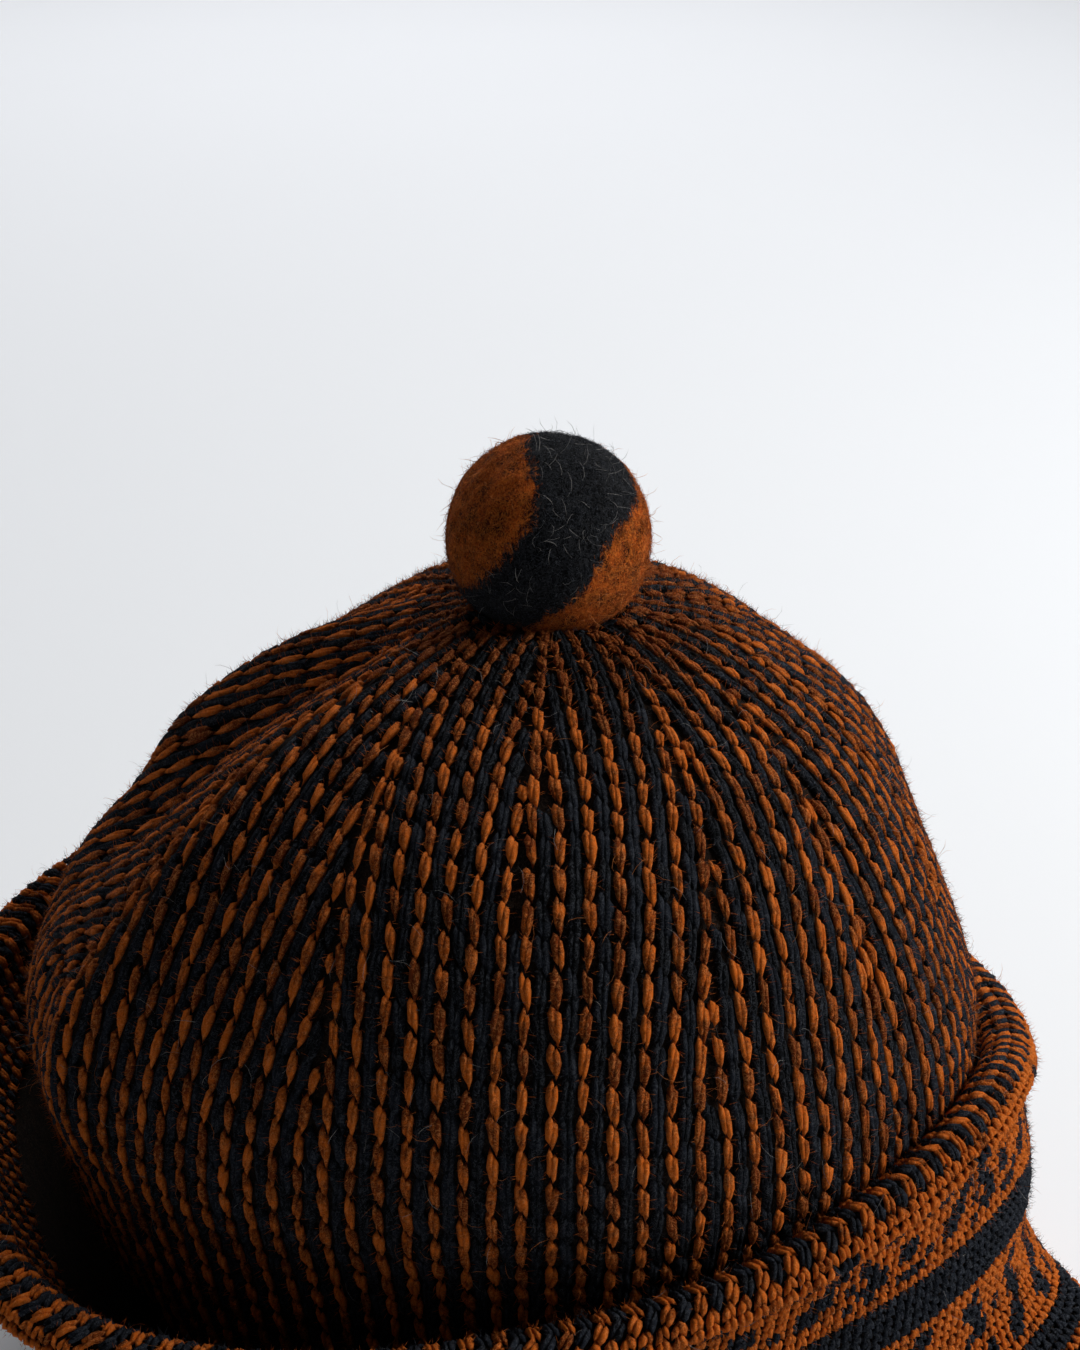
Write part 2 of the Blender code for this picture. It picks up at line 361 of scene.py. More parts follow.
def round_through(
    azimuths: Sequence[float], values: Sequence[float], at: np.ndarray
) -> np.ndarray:
    """Read a smooth closed curve given by azimuth.

    Args:
        azimuths: Azimuths of the points, rising within one turn.
        values: Their values.
        at: Azimuths to read it at.

    Returns:
        The values there.
    """
    azimuths, values = list(azimuths), list(values)
    before = [a - 360 for a in azimuths[-3:]]
    after = [a + 360 for a in azimuths[:3]]
    turned = (np.asarray(at, float) + 180) % 360 - 180
    return through(before + azimuths + after, values[-3:] + values + values[:3], turned)


def turn_between(azimuth: np.ndarray, other: np.ndarray | float) -> np.ndarray:
    """The turn from `other` to `azimuth` in degrees, within half a turn."""
    return (azimuth - other + 180) % 360 - 180


def ease(share: np.ndarray) -> np.ndarray:
    """A smooth step from 0 to 1."""
    share = np.clip(share, 0, 1)
    return share * share * (3 - 2 * share)


def unit(vectors: np.ndarray) -> np.ndarray:
    """The vectors at length one."""
    return vectors / np.maximum(np.linalg.norm(vectors, axis=-1, keepdims=True), 1e-12)


def linear(colour: str) -> tuple[float, float, float, float]:
    """Turn an sRGB hex colour to linear light.

    Args:
        colour: Six hex digits.

    Returns:
        Linear red, green, blue and alpha.
    """
    values = [int(colour[i:i + 2], 16) / 255 for i in (0, 2, 4)]
    light = [v / 12.92 if v <= 0.04045 else ((v + 0.055) / 1.055) ** 2.4 for v in values]
    return light[0], light[1], light[2], 1.0


def add_node(tree: bpy.types.NodeTree, kind: str, inputs: dict[Any, Any] | None = None,
             **settings: Any) -> bpy.types.Node:
    """Add a node with its settings and links.

    Args:
        tree: The node tree.
        kind: The node's type.
        inputs: Values or sockets to link, by the input's name or place.
        settings: The node's own properties.

    Returns:
        The node.
    """
    node = tree.nodes.new(kind)
    for name, value in settings.items():
        setattr(node, name, value)
    for key, value in (inputs or {}).items():
        if isinstance(key, int):
            socket = node.inputs[key]
        else:
            socket = next(s for s in node.inputs if s.name == key and s.enabled)
        if isinstance(value, bpy.types.NodeSocket):
            tree.links.new(value, socket)
        else:
            socket.default_value = value
    return node


def result(node: bpy.types.Node, name: str = "") -> bpy.types.NodeSocket:
    """The node's first output in use, or the one of that name."""
    return next(s for s in node.outputs if s.enabled and name in ("", s.name))


def calc(tree: bpy.types.NodeTree, operation: str, *values: float | bpy.types.NodeSocket
         ) -> bpy.types.NodeSocket:
    """Work out a number from numbers or sockets.

    Args:
        tree: The node tree.
        operation: What the Math node does with them.
        values: One to three numbers or sockets.

    Returns:
        The socket with the outcome.
    """
    return result(add_node(tree, "ShaderNodeMath", dict(enumerate(values)), operation=operation))


def vector(tree: bpy.types.NodeTree, *parts: float | bpy.types.NodeSocket
           ) -> bpy.types.NodeSocket:
    """A vector put together from its three parts, numbers or sockets."""
    return result(add_node(tree, "ShaderNodeCombineXYZ", dict(zip("XYZ", parts))))


def between(tree: bpy.types.NodeTree, value: bpy.types.NodeSocket, low: float, high: float
            ) -> bpy.types.NodeSocket:
    """How far a number is on its way from one bound to the other, from 0 to 1."""
    return result(add_node(tree, "ShaderNodeMapRange", {
        "Value": value, "From Min": low, "From Max": high}))


def noise(tree: bpy.types.NodeTree, place: bpy.types.NodeSocket, size_mm: float, detail: float,
          **more: float) -> bpy.types.NodeSocket:
    """Draw soft noise.

    Args:
        tree: The material's node tree.
        place: The coordinates to draw it in.
        size_mm: The size of its lumps.
        detail: How many finer layers it has.
        more: The noise's other inputs.

    Returns:
        The socket with its value.
    """
    return result(add_node(tree, "ShaderNodeTexNoise", {
        "Vector": place, "Scale": 1 / (size_mm * MM), "Detail": detail, **more}))


def blend(tree: bpy.types.NodeTree, share: bpy.types.NodeSocket, low: Any, high: Any
          ) -> bpy.types.NodeSocket:
    """Mix two colours, each a socket or linear light, by a share."""
    return result(add_node(tree, "ShaderNodeMix", {"Factor": share, "A": low, "B": high},
                           data_type="RGBA"))


def relief(tree: bpy.types.NodeTree, height: bpy.types.NodeSocket, strength: float,
           depth_mm: float) -> bpy.types.NodeSocket:
    """Fine relief from a height, as the shader's normal."""
    return result(add_node(tree, "ShaderNodeBump", {
        "Height": height, "Strength": strength, "Distance": depth_mm * MM}))


def fibre_lines(tree: bpy.types.NodeTree, place: bpy.types.NodeSocket, size_mm: float,
                width: float) -> bpy.types.NodeSocket:
    """Thin curly lines, like single fibres lying on a surface.

    Args:
        tree: The material's node tree.
        place: The coordinates to draw them in.
        size_mm: The size of their curls.
        width: Their width over the curls' size.

    Returns:
        A socket that is 1 along the lines and 0 elsewhere.
    """
    curls = noise(tree, place, size_mm, 1.5, Distortion=1.6)
    near = calc(tree, "ABSOLUTE", calc(tree, "SUBTRACT", curls, 0.5))
    return result(add_node(tree, "ShaderNodeMapRange", {
        "Value": near, "From Min": 0.0, "From Max": width, "To Min": 1.0, "To Max": 0.0}))


class Surface(NamedTuple):
    """A new material with what its finish works on, Object coordinates among it."""

    material: bpy.types.Material
    tree: bpy.types.NodeTree
    shader: bpy.types.Node
    place: bpy.types.NodeSocket

    def dressed(self, colour: bpy.types.NodeSocket, constants: dict[str, Any],
                normal: bpy.types.NodeSocket | None = None) -> bpy.types.Material:
        """Give the shader its colour, relief and constants.

        Args:
            colour: The base colour.
            constants: The shader's inputs that stay the same all over.
            normal: The relief, if any.

        Returns:
            The material.
        """
        self.tree.links.new(colour, self.shader.inputs["Base Color"])
        if normal is not None:
            self.tree.links.new(normal, self.shader.inputs["Normal"])
        for name, value in constants.items():
            self.shader.inputs[name].default_value = value
        return self.material


def new_surface(name: str, shown: str) -> Surface:
    """Start a material.

    Args:
        name: The material's name.
        shown: Its plain display colour, as six hex digits.

    Returns:
        The material with its node tree, shader and Object coordinates.
    """
    made = bpy.data.materials.new(name)
    made.use_nodes = True
    made.diffuse_color = linear(shown)
    tree = made.node_tree
    place = result(add_node(tree, "ShaderNodeTexCoord"), "Object")
    return Surface(made, tree, tree.nodes["Principled BSDF"], place)


class FramedPoints(NamedTuple):
    """Places on a surface, with the way out of it and the way up along the knitting."""

    place: np.ndarray
    out: np.ndarray
    up: np.ndarray

    def shifted(self, distance: float | np.ndarray) -> np.ndarray:
        """The places moved along the way out by a distance in metres."""
        return self.place + self.out * np.reshape(distance, (-1, 1))


@dataclass
class CrownForm:
    """The crown's outer surface, as the CAD source has it.

    A place on it is an azimuth and a share of the way up the knit, from the base to the apex.
    """

    radius: float = 0.092
    height: float = 0.158
    ball_diameter: float = 0.038
    ball_sink: float = 0.0068
    gap: float = 0.0004
    fold_end: float = 0.35
    centre: np.ndarray = field(default_factory=lambda: np.zeros(3))

    def stations(self) -> np.ndarray:
        """How far up the knit each section is, as a share of the arc from base to apex."""
        radius = np.array([sum(s[1:]) / 4 for s in CROWN_SECTIONS]) * self.radius
        height = np.array([s.height for s in CROWN_SECTIONS]) * self.height
        arc = np.concatenate([[0], np.cumsum(np.hypot(np.diff(radius), np.diff(height)))])
        return arc / arc[-1]

    def height_at(self, share: np.ndarray) -> np.ndarray:
        """The height above the floor at a share of the way up."""
        return through(self.stations(), [s.height for s in CROWN_SECTIONS], share) * self.height

    def share_at(self, height: np.ndarray) -> np.ndarray:
        """The share of the way up at a height above the floor."""
        shares = np.linspace(0, 1, 801)
        return np.interp(height, np.maximum.accumulate(self.height_at(shares)), shares)

    def radius_at(self, azimuth: np.ndarray, share: np.ndarray) -> np.ndarray:
        """The outer radius about the apex's axis, folds included.

        Args:
            azimuth: Azimuths in degrees.
            share: Shares of the way up the knit.

        Returns:
            The radii.
        """
        stations = self.stations()
        columns = zip(*[s[1:] for s in CROWN_SECTIONS])
        right, front, left, back = (through(stations, column, share) for column in columns)
        sine, cosine = np.sin(np.radians(azimuth)), np.cos(np.radians(azimuth))
        across = np.where(sine > 0, right, left) * sine**2
        along = np.where(cosine > 0, front, back) * cosine**2
        radius = (across + along) * self.radius
        folded = radius.copy()
        for fold in CROWN_FOLDS:
            way = (share - fold.start) / (fold.end - fold.start)
            lead = ease(way / self.fold_end) * ease((1 - way) / self.fold_end)
            drift = fold.azimuth_high - fold.azimuth_low
            middle = fold.azimuth_low + drift * np.clip(way, 0, 1)
            aside = np.radians(turn_between(azimuth, middle)) * radius
            aside = aside / (fold.width * self.radius)
            folded = folded + lead * fold.height * self.radius * np.exp(-(aside**2))
        return folded

    def ball_centre(self) -> float:
        """The height of the felt ball's centre."""
        return self.height - self.ball_sink + self.ball_diameter / 2

    def point(self, azimuth: np.ndarray, share: np.ndarray) -> np.ndarray:
        """Points of the outside, pressed down where the ball sits in it.

        Args:
            azimuth: Azimuths in degrees.
            share: Shares of the way up the knit.

        Returns:
            The points in the frame.
        """
        radius = self.radius_at(azimuth, share)
        height = self.height_at(share) + 0 * radius
        seat = self.ball_diameter / 2 + self.gap
        under = seat**2 - np.minimum(radius, seat) ** 2
        pressed = np.minimum(height, self.ball_centre() - np.sqrt(under))
        height = np.where(radius < seat, pressed, height)
        turn = np.radians(azimuth)
        points = np.stack([radius * np.sin(turn), -radius * np.cos(turn), height], -1)
        return points - self.centre

    def framed(self, azimuth: np.ndarray, share: np.ndarray) -> FramedPoints:
        """Points with the ways out and up.

        Args:
            azimuth: Azimuths in degrees.
            share: Shares of the way up the knit.

        Returns:
            The framed points.
        """
        turn, rise = 0.2, 0.0008
        across = self.point(azimuth + turn, share) - self.point(azimuth - turn, share)
        above = np.minimum(share + rise, 0.9995)
        up = self.point(azimuth, above) - self.point(azimuth, above - 2 * rise)
        return FramedPoints(self.point(azimuth, share), unit(np.cross(across, up)), unit(up))


@dataclass
class CuffForm:
    """The turned-up band, as the CAD source has it.

    A place on it is an azimuth and a reach: metres of the section's outline from the outermost
    line of the roll, positive down the outside and negative over the roll and down the inside.
    """

    crown: CrownForm
    height: float = 0.080
    thickness: float = 0.006
    roll_radius: float = 0.0049
    splay: float = 0.026
    crease: CuffCrease = CuffCrease(58, 0.42, 0.16, 0.055)
    inside_reach: float = 0.045
    step: float = 0.0005
    azimuth_step: float = 0.5
    wall_top: float = 0.96
    wall_steps: int = 30
    roll_steps: int = 25
    outermost: int = field(init=False)
    table: np.ndarray = field(init=False)
    reaches: np.ndarray = field(init=False)
    outside_reach: np.ndarray = field(init=False)

    def __post_init__(self) -> None:
        """Centre the plan on the frame's origin and work out the table of places."""
        self.crown.centre = self.plan_centre()
        azimuth = np.arange(0, 360, self.azimuth_step) - 180
        self.reaches = np.arange(-self.inside_reach, self.height + 0.03, self.step)
        radius, height = self.outline(azimuth)
        turn = np.radians(azimuth)
        self.table = np.empty((len(azimuth), len(self.reaches), 3))
        self.outside_reach = np.empty(len(azimuth))
        for j in range(len(azimuth)):
            steps = np.hypot(np.diff(radius[:, j]), np.diff(height[:, j]))
            arc = np.concatenate([[0], np.cumsum(steps)])
            arc -= arc[self.outermost]
            self.outside_reach[j] = arc[-1]
            out = np.interp(self.reaches, arc, radius[:, j])
            self.table[j, :, 0] = out * math.sin(turn[j])
            self.table[j, :, 1] = -out * math.cos(turn[j])
            self.table[j, :, 2] = np.interp(self.reaches, arc, height[:, j])
        self.table -= self.crown.centre

    def top(self, azimuth: np.ndarray) -> np.ndarray:
        """The height of the rolled edge's top."""
        tops = [r.top for r in CUFF_SECTIONS]
        return round_through([r.azimuth for r in CUFF_SECTIONS], tops, azimuth) * self.height

    def middle(self, azimuth: np.ndarray, height: np.ndarray) -> np.ndarray:
        """The radius of the middle of the thickness at a height above the floor.

        Args:
            azimuth: Azimuths in degrees.
            height: A height for each.

        Returns:
            The radii.
        """
        azimuths = [r.azimuth for r in CUFF_SECTIONS]
        columns = list(zip(*[r[2:] for r in CUFF_SECTIONS]))
        offs = np.stack([round_through(azimuths, column, azimuth) for column in columns])
        share = np.clip(height / (self.top(azimuth) - self.roll_radius), 0, 1)
        off = np.array([through(CUFF_SECTION_HEIGHTS, offs[:, j], share[j])
                        for j in range(len(share))])
        off = np.maximum(off, 0) * self.splay
        radius = self.crown.radius_at(azimuth, self.crown.share_at(height))
        aside = np.radians(turn_between(azimuth, self.crease.azimuth)) * radius
        pinch = np.exp(-((aside / (self.crease.width * self.crown.radius)) ** 2))
        pinch = pinch * ease(1 - share / self.crease.top) * self.crease.depth * self.splay
        return radius + self.crown.gap + self.thickness / 2 + np.maximum(off - pinch, 0)

    def outline(self, azimuth: np.ndarray) -> tuple[np.ndarray, np.ndarray]:
        """The section's outline from the inside foot, over the roll, to the outside foot.

        Args:
            azimuth: Azimuths in degrees.

        Returns:
            Radius and height, a row for each point of the outline.
        """
        rim = self.top(azimuth) - self.roll_radius
        spread = max(self.roll_radius - self.thickness / 2, 0)
        walls = np.linspace(0, self.wall_top, self.wall_steps)
        rings = []
        for share in walls:
            middle = self.middle(azimuth, share * rim)
            rings.append((middle - self.thickness / 2, share * rim))
        middle = self.middle(azimuth, rim) + spread
        for angle in np.linspace(180, 0, self.roll_steps):
            turn = math.radians(angle)
            out = middle + self.roll_radius * math.cos(turn)
            rings.append((out, rim + self.roll_radius * math.sin(turn)))
        self.outermost = len(rings) - 1
        for share in reversed(walls):
            middle = self.middle(azimuth, share * rim)
            rings.append((middle + self.thickness / 2, share * rim))
        return np.array([r[0] for r in rings]), np.array([r[1] for r in rings])

    def plan_centre(self) -> np.ndarray:
        """The middle of the plan, which the CAD source puts on the origin.

        It is measured at the CAD source's own columns and rings, so that both agree.

        Returns:
            The middle, at the floor.
        """
        azimuth = np.arange(72) * 5.0 - 180
        turn = np.radians(azimuth)
        rim = self.top(azimuth) - self.roll_radius
        spread = max(self.roll_radius - self.thickness / 2, 0)
        outs = [self.middle(azimuth, rim) + spread + self.roll_radius]
        for share in (0.0, 0.07, 0.15, 0.27, 0.52, 0.82):
            outs.append(self.middle(azimuth, share * rim) + self.thickness / 2)
        xs = np.concatenate([out * np.sin(turn) for out in outs])
        ys = np.concatenate([-out * np.cos(turn) for out in outs])
        return np.array([(xs.min() + xs.max()) / 2, (ys.min() + ys.max()) / 2, 0.0])

    def point(self, azimuth: np.ndarray, reach: np.ndarray) -> np.ndarray:
        """Points of the surface, read between the places of the table.

        Args:
            azimuth: Azimuths in degrees.
            reach: A reach for each.

        Returns:
            The points in the frame.
        """
        a = (np.asarray(azimuth, float) + 180) % 360 / self.azimuth_step
        r = np.clip((reach + self.inside_reach) / self.step, 0, len(self.reaches) - 1.001)
        i, j = a.astype(int) % len(self.table), r.astype(int)
        u, v = (a - np.floor(a))[..., None], (r - j)[..., None]
        k = (i + 1) % len(self.table)
        low = self.table[i, j] * (1 - u) + self.table[k, j] * u
        high = self.table[i, j + 1] * (1 - u) + self.table[k, j + 1] * u
        return low * (1 - v) + high * v

    def reach_to_floor(self, azimuth: np.ndarray) -> np.ndarray:
        """The outline's length from the roll's outermost line down to the floor.

        Args:
            azimuth: Azimuths in degrees.

        Returns:
            The lengths.
        """
        places = np.arange(len(self.outside_reach)) * self.azimuth_step - 180
        turned = (np.asarray(azimuth, float) + 180) % 360 - 180
        return np.interp(turned, places, self.outside_reach)

    def framed(self, azimuth: np.ndarray, reach: np.ndarray) -> FramedPoints:
        """Points with the ways out and up, where up leads back over the roll.

        Args:
            azimuth: Azimuths in degrees.
            reach: A reach for each.

        Returns:
            The framed points.
        """
        turn, way = 0.6, 0.0006
        across = self.point(azimuth + turn, reach) - self.point(azimuth - turn, reach)
        up = self.point(azimuth, reach - way) - self.point(azimuth, reach + way)
        return FramedPoints(self.point(azimuth, reach), unit(np.cross(across, up)), unit(up))


@dataclass(frozen=True)
class WoolFinish:
    """Soft carded wool: matt, faintly fibrous, with a pale bloom where it is seen edge-on.

    The colour drifts from stitch to stitch, because the yarn is spun from fibres dyed unevenly.
    The same tint also carries painted shade near the crown's apex and painted light on the cuff.
    Real fibres are about 0.03 mm thick. They are drawn coarser, so that they show in the picture.
    """

    name: str
    colour: str
    shade: str
    bloom: str
    sheen: float = 0.22
    strays: float = 0.40
    stray_mm: float = 1.1
    stray_width: float = 0.060
    stray_height: float = 0.25
    fibre_mm: float = 0.42
    mottle_mm: float = 2.6
    tones: tuple[float, float] = (0.84, 1.16)
    roughness: float = 0.92
    bump_mm: float = 0.50

    def material(self) -> bpy.types.Material:
        """Build the material.

        Returns:
            A node material that reads Object coordinates and the stitches' own tint.
        """
        wool = new_surface(self.name, self.colour)
        tree = wool.tree
        tint = result(add_node(tree, "ShaderNodeAttribute", attribute_name="tint"), "Fac")
        mottle = noise(tree, wool.place, self.mottle_mm, 2.0)
        fibres = noise(tree, wool.place, self.fibre_mm, 4.0, Roughness=0.75, Distortion=0.8)
        tinted = calc(tree, "ADD", calc(tree, "ADD", mottle, fibres), tint)
        body = blend(tree, between(tree, tinted, *self.tones), linear(self.shade),
                     linear(self.colour))
        lines = fibre_lines(tree, wool.place, self.stray_mm, self.stray_width)
        colour = blend(tree, calc(tree, "MULTIPLY", lines, self.strays), body,
                       linear(self.bloom))
        raised = calc(tree, "MULTIPLY_ADD", lines, self.stray_height, fibres)
        return wool.dressed(colour, {
            "Roughness": self.roughness, "Specular IOR Level": 0.08,
            "Sheen Weight": self.sheen, "Sheen Roughness": 0.45,
            "Sheen Tint": linear(self.bloom)},
            relief(tree, raised, 0.9, self.bump_mm))


@dataclass(frozen=True)
class KnitReverseFinish:
    """The knit's reverse: both yarns packed side by side in fine ribs, in shade."""

    name: str
    rust: str
    charcoal: str
    wander_mm: float = 1.2
    wander: float = 0.45
    border: tuple[float, float] = (-0.3, 0.5)
    row_relief: float = 0.4
    fuzz_relief: float = 1.5
    bump_mm: float = 0.35

    def material(self) -> bpy.types.Material:
        """Build the material.

        Returns:
            A node material whose ribs follow the piece's UV map, one unit to a pair of columns.
        """
        knit = new_surface(self.name, self.charcoal)
        tree = knit.tree
        columns = add_node(tree, "ShaderNodeUVMap", uv_map="knit")
        parts = add_node(tree, "ShaderNodeSeparateXYZ", {"Vector": result(columns)})
        fuzz = noise(tree, knit.place, self.wander_mm, 3.0)
        swing = calc(tree, "MULTIPLY_ADD", fuzz, self.wander, result(parts, "X"))
        rib, beat = (calc(tree, "SINE", calc(tree, "MULTIPLY", turns, 2 * math.pi))
                     for turns in (swing, result(parts, "Y")))
        colour = blend(tree, between(tree, rib, *self.border), linear(self.charcoal),
                       linear(self.rust))
        height = calc(tree, "MULTIPLY_ADD", beat, self.row_relief, rib)
        fuzzed = calc(tree, "MULTIPLY_ADD", fuzz, self.fuzz_relief, height)
        return knit.dressed(colour, {
            "Roughness": 0.95, "Specular IOR Level": 0.1, "Sheen Weight": 0.1},
            relief(tree, fuzzed, 0.7, self.bump_mm))


@dataclass(frozen=True)
class FeltFinish:
    """Wet-felted wool: two colours of roving matted into one skin, so their border is ragged.

    The skin is matt and slightly lumpy, with single fibres lying across the border. Its fibres
    are drawn coarser than the real 0.03 mm, so that they show in the picture.
    """

    name: str
    rust: str
    rust_shade: str
    charcoal: str
    charcoal_shade: str
    rust_fibre: str
    charcoal_fibre: str
    ragged: float = 0.46
    frayed: float = 0.30
    border_width: float = 0.07
    strand_mm: float = 0.7
    fibre_mm: float = 0.45
    lump_mm: float = 3.2
    tones: tuple[float, float] = (0.68, 0.86)
    strays: float = 0.50
    fine_mm: float = 1.1
    fine_width: float = 0.085
    coarse_mm: float = 3.0
    coarse_width: float = 0.030
    stray_height: float = 0.25
    lump_height: float = 1.2
    bump_mm: float = 0.60

    def material(self) -> bpy.types.Material:
        """Build the material.

        Returns:
            A node material that reads the ball's attribute charcoal_side.
        """
        felt = new_surface(self.name, self.rust)
        tree = felt.tree
        side = result(add_node(tree, "ShaderNodeAttribute", attribute_name="charcoal_side"),
                      "Fac")
        slanted = result(add_node(tree, "ShaderNodeMapping", {
            "Vector": felt.place, "Rotation": (0.0, 0.5, 0.0), "Scale": (2.2, 1.0, 0.8)}))
        strands = noise(tree, slanted, self.strand_mm * 3, 5.0, Roughness=0.72, Distortion=0.6)
        fibres = noise(tree, felt.place, self.fibre_mm, 5.0, Roughness=0.8, Distortion=1.2)
        lumps = noise(tree, felt.place, self.lump_mm, 2.0)
        swung = calc(tree, "MULTIPLY_ADD", strands, self.ragged, side)
        fray = calc(tree, "MULTIPLY_ADD", fibres, self.frayed, swung)
        border = (self.ragged + self.frayed) / 2
        share = result(add_node(tree, "ShaderNodeMapRange", {
            "Value": fray, "From Min": border - self.border_width / 2,
            "From Max": border + self.border_width / 2}, interpolation_type="SMOOTHSTEP"))
        depth = calc(tree, "MULTIPLY_ADD", lumps, 0.5, fibres)
        spread = between(tree, depth, *self.tones)
        warm = blend(tree, spread, linear(self.rust_shade), linear(self.rust))
        dark = blend(tree, spread, linear(self.charcoal_shade), linear(self.charcoal))
        body = blend(tree, share, warm, dark)
        fine = fibre_lines(tree, felt.place, self.fine_mm, self.fine_width)
        coarse = fibre_lines(tree, slanted, self.coarse_mm, self.coarse_width)
        lines = calc(tree, "MAXIMUM", fine, coarse)
        stray = blend(tree, share, linear(self.rust_fibre), linear(self.charcoal_fibre))
        colour = blend(tree, calc(tree, "MULTIPLY", lines, self.strays), body, stray)
        rough = calc(tree, "MULTIPLY_ADD", lumps, self.lump_height, fibres)
        height = calc(tree, "MULTIPLY_ADD", lines, self.stray_height, rough)
        return felt.dressed(colour, {
            "Roughness": 0.95, "Specular IOR Level": 0.05, "Sheen Weight": 0.02,
            "Sheen Roughness": 0.5}, relief(tree, height, 0.8, self.bump_mm))


@dataclass(frozen=True)
class PaperFinish:
    """Seamless background paper: smooth, matt and near white, with a cool cast."""

    name: str = "background_paper"
    colour: str = "E9ECEF"

    def material(self) -> bpy.types.Material:
        """Build the material, with a grain too faint to draw the eye."""
        paper = new_surface(self.name, self.colour)
        tree = paper.tree
        grain = add_node(tree, "ShaderNodeTexNoise", {
            "Vector": paper.place, "Scale": 3.0, "Detail": 2.0})
        share = add_node(tree, "ShaderNodeMapRange", {
            "Value": result(grain), "To Min": 0.985, "To Max": 1.0})
        colour = add_node(tree, "ShaderNodeMix", {
            "Factor": 1.0, "A": linear(self.colour), "B": result(share)},
            data_type="RGBA", blend_type="MULTIPLY")
        return paper.dressed(result(colour), {"Roughness": 0.9, "Specular IOR Level": 0.1})


# Rust-dyed wool: warm and matt, with darker flecks where the dye took unevenly.
RUST_WOOL = WoolFinish("wool_yarn_rust", "C8621C", "64290A", "EC9A58", sheen=0.07)
# Blue-black wool: nearly black in shade, with a cool grey bloom along its fibres.
CHARCOAL_WOOL = WoolFinish("wool_yarn_charcoal", "1C2028", "07090C", "5C6068", sheen=0.04)
# Loose rust fibres: pale and warm where they catch the light at the outline.
RUST_FLUFF = WoolFinish("wool_fluff_rust", "CC7836", "9A5220", "ECB080", sheen=0.2)
# Undyed guard hairs: pale grey threads lying over the charcoal wool.
CHARCOAL_FLUFF = WoolFinish("wool_fluff_charcoal", "A4A09C", "605E5E", "D8D8D8", sheen=0.1)
# The reverse inside the crown: dull brown and black ribs in the hollow's shade.
KNIT_REVERSE = KnitReverseFinish("knit_reverse", "5A3216", "14161A")
# The ground between the stitches: dark as painted shade, so that the gaps look deep.
KNIT_SHADE = WoolFinish("knit_ground_painted_shade", "241811", "120E0D", "50453C", sheen=0.05)
# Short rust nap: a little lighter than its yarn, so it softens each stitch's outline.
RUST_NAP = WoolFinish("wool_nap_rust", "CE6A28", "883C12", "E89858", sheen=0.05)
# Short charcoal nap: slate grey tips that keep the dark columns from looking smooth.
CHARCOAL_NAP = WoolFinish("wool_nap_charcoal", "30343C", "101216", "848890", sheen=0.03)
# The ball's felt: burnt orange and black, dense and matt, with single brighter fibres.
BALL_FELT = FeltFinish(
    "wool_felt", "A8480E", "2E1004", "0A0C10", "020203", "E48030", "3C3E42")


@dataclass(frozen=True)
class StitchShape:
    """One stitch: two yarn legs, leaning together at the foot.

    Widths and heights are shares of the stitch's width, and ups and downs of its length.
    """

    leg_radius: float = 0.30
    taper: float = 0.40
    top_spread: float = 0.25
    foot_spread: float = 0.12
    stagger: float = 0.14
    rise: float = 0.28
    sides: int = 5
    rings: int = 4
    turn_jitter: float = 0.12
    size_jitter: float = 0.14
    lumps: float = 0.0010


@dataclass(frozen=True)
class StrandShape:
    """One loose wool fibre: a thin curl that stands out of the surface."""

    length: float
    thickness: float
    curl: float = 0.55
    stand: float = 0.5
    per_square_metre: float = 60000


@dataclass(frozen=True)
class NapShape:
    """The short nap on a stitch: where it stands, how upright and how unruly it is.

    Places are shares of the stitch's width and length, and the fibre's radius is in
    millimetres at its root. Real fibres are a quarter as thick and far more, so that one here
    stands for a tuft.
    """

    across: float = 0.46
    along: float = 0.42
    crest: float = 0.30
    upright: float = 0.8
    splay: float = 2.6
    unruly: float = 0.45
    mottled: float = 0.26
    radius_mm: float = 0.052
    sides: int = 3


def new_tree(name: str, numbers: Sequence[str], wholes: Sequence[str], material: str
             ) -> tuple[bpy.types.NodeTree, bpy.types.Node]:
    """Start a geometry node tree that takes geometry and some named values.

    Args:
        name: The tree's name.
        numbers: The inputs that are numbers.
        wholes: The inputs that are whole numbers.
        material: The input that is a material.

    Returns:
        The tree, and the node that hands out its inputs.
    """
    tree = bpy.data.node_groups.new(name, "GeometryNodeTree")
    kinds = {"Geometry": "Geometry", **dict.fromkeys(numbers, "Float"),
             **dict.fromkeys(wholes, "Int"), material: "Material"}
    for label, kind in kinds.items():
        tree.interface.new_socket(label, in_out="INPUT", socket_type=f"NodeSocket{kind}")
    tree.interface.new_socket("Geometry", in_out="OUTPUT", socket_type="NodeSocketGeometry")
    return tree, add_node(tree, "NodeGroupInput")


def finish_tree(tree: bpy.types.NodeTree, geometry: bpy.types.NodeSocket,
                material: bpy.types.NodeSocket) -> bpy.types.NodeTree:
    """Put the material on the geometry and send it out of the tree.

    Args:
        tree: The node tree.
        geometry: What it has made.
        material: Its material.

    Returns:
        The tree.
    """
    dressed = add_node(tree, "GeometryNodeSetMaterial", {
        "Geometry": geometry, "Material": material})
    add_node(tree, "NodeGroupOutput", {"Geometry": result(dressed)})
    return tree


def closed_tube(tree: bpy.types.NodeTree, curve: bpy.types.Node, profile: bpy.types.Node,
                radius: bpy.types.NodeSocket) -> bpy.types.NodeSocket:
    """Sweep a round profile along a curve to a tube whose ends shrink to a point.

    Args:
        tree: The node tree.
        curve: The node with the curve.
        profile: The node with the profile.
        radius: The profile's scale along the curve, zero where an end closes.

    Returns:
        The socket with the tube.
    """
    return result(add_node(tree, "GeometryNodeCurveToMesh", {
        "Curve": result(curve), "Profile Curve": result(profile, "Curve"),
        "Scale": radius}))


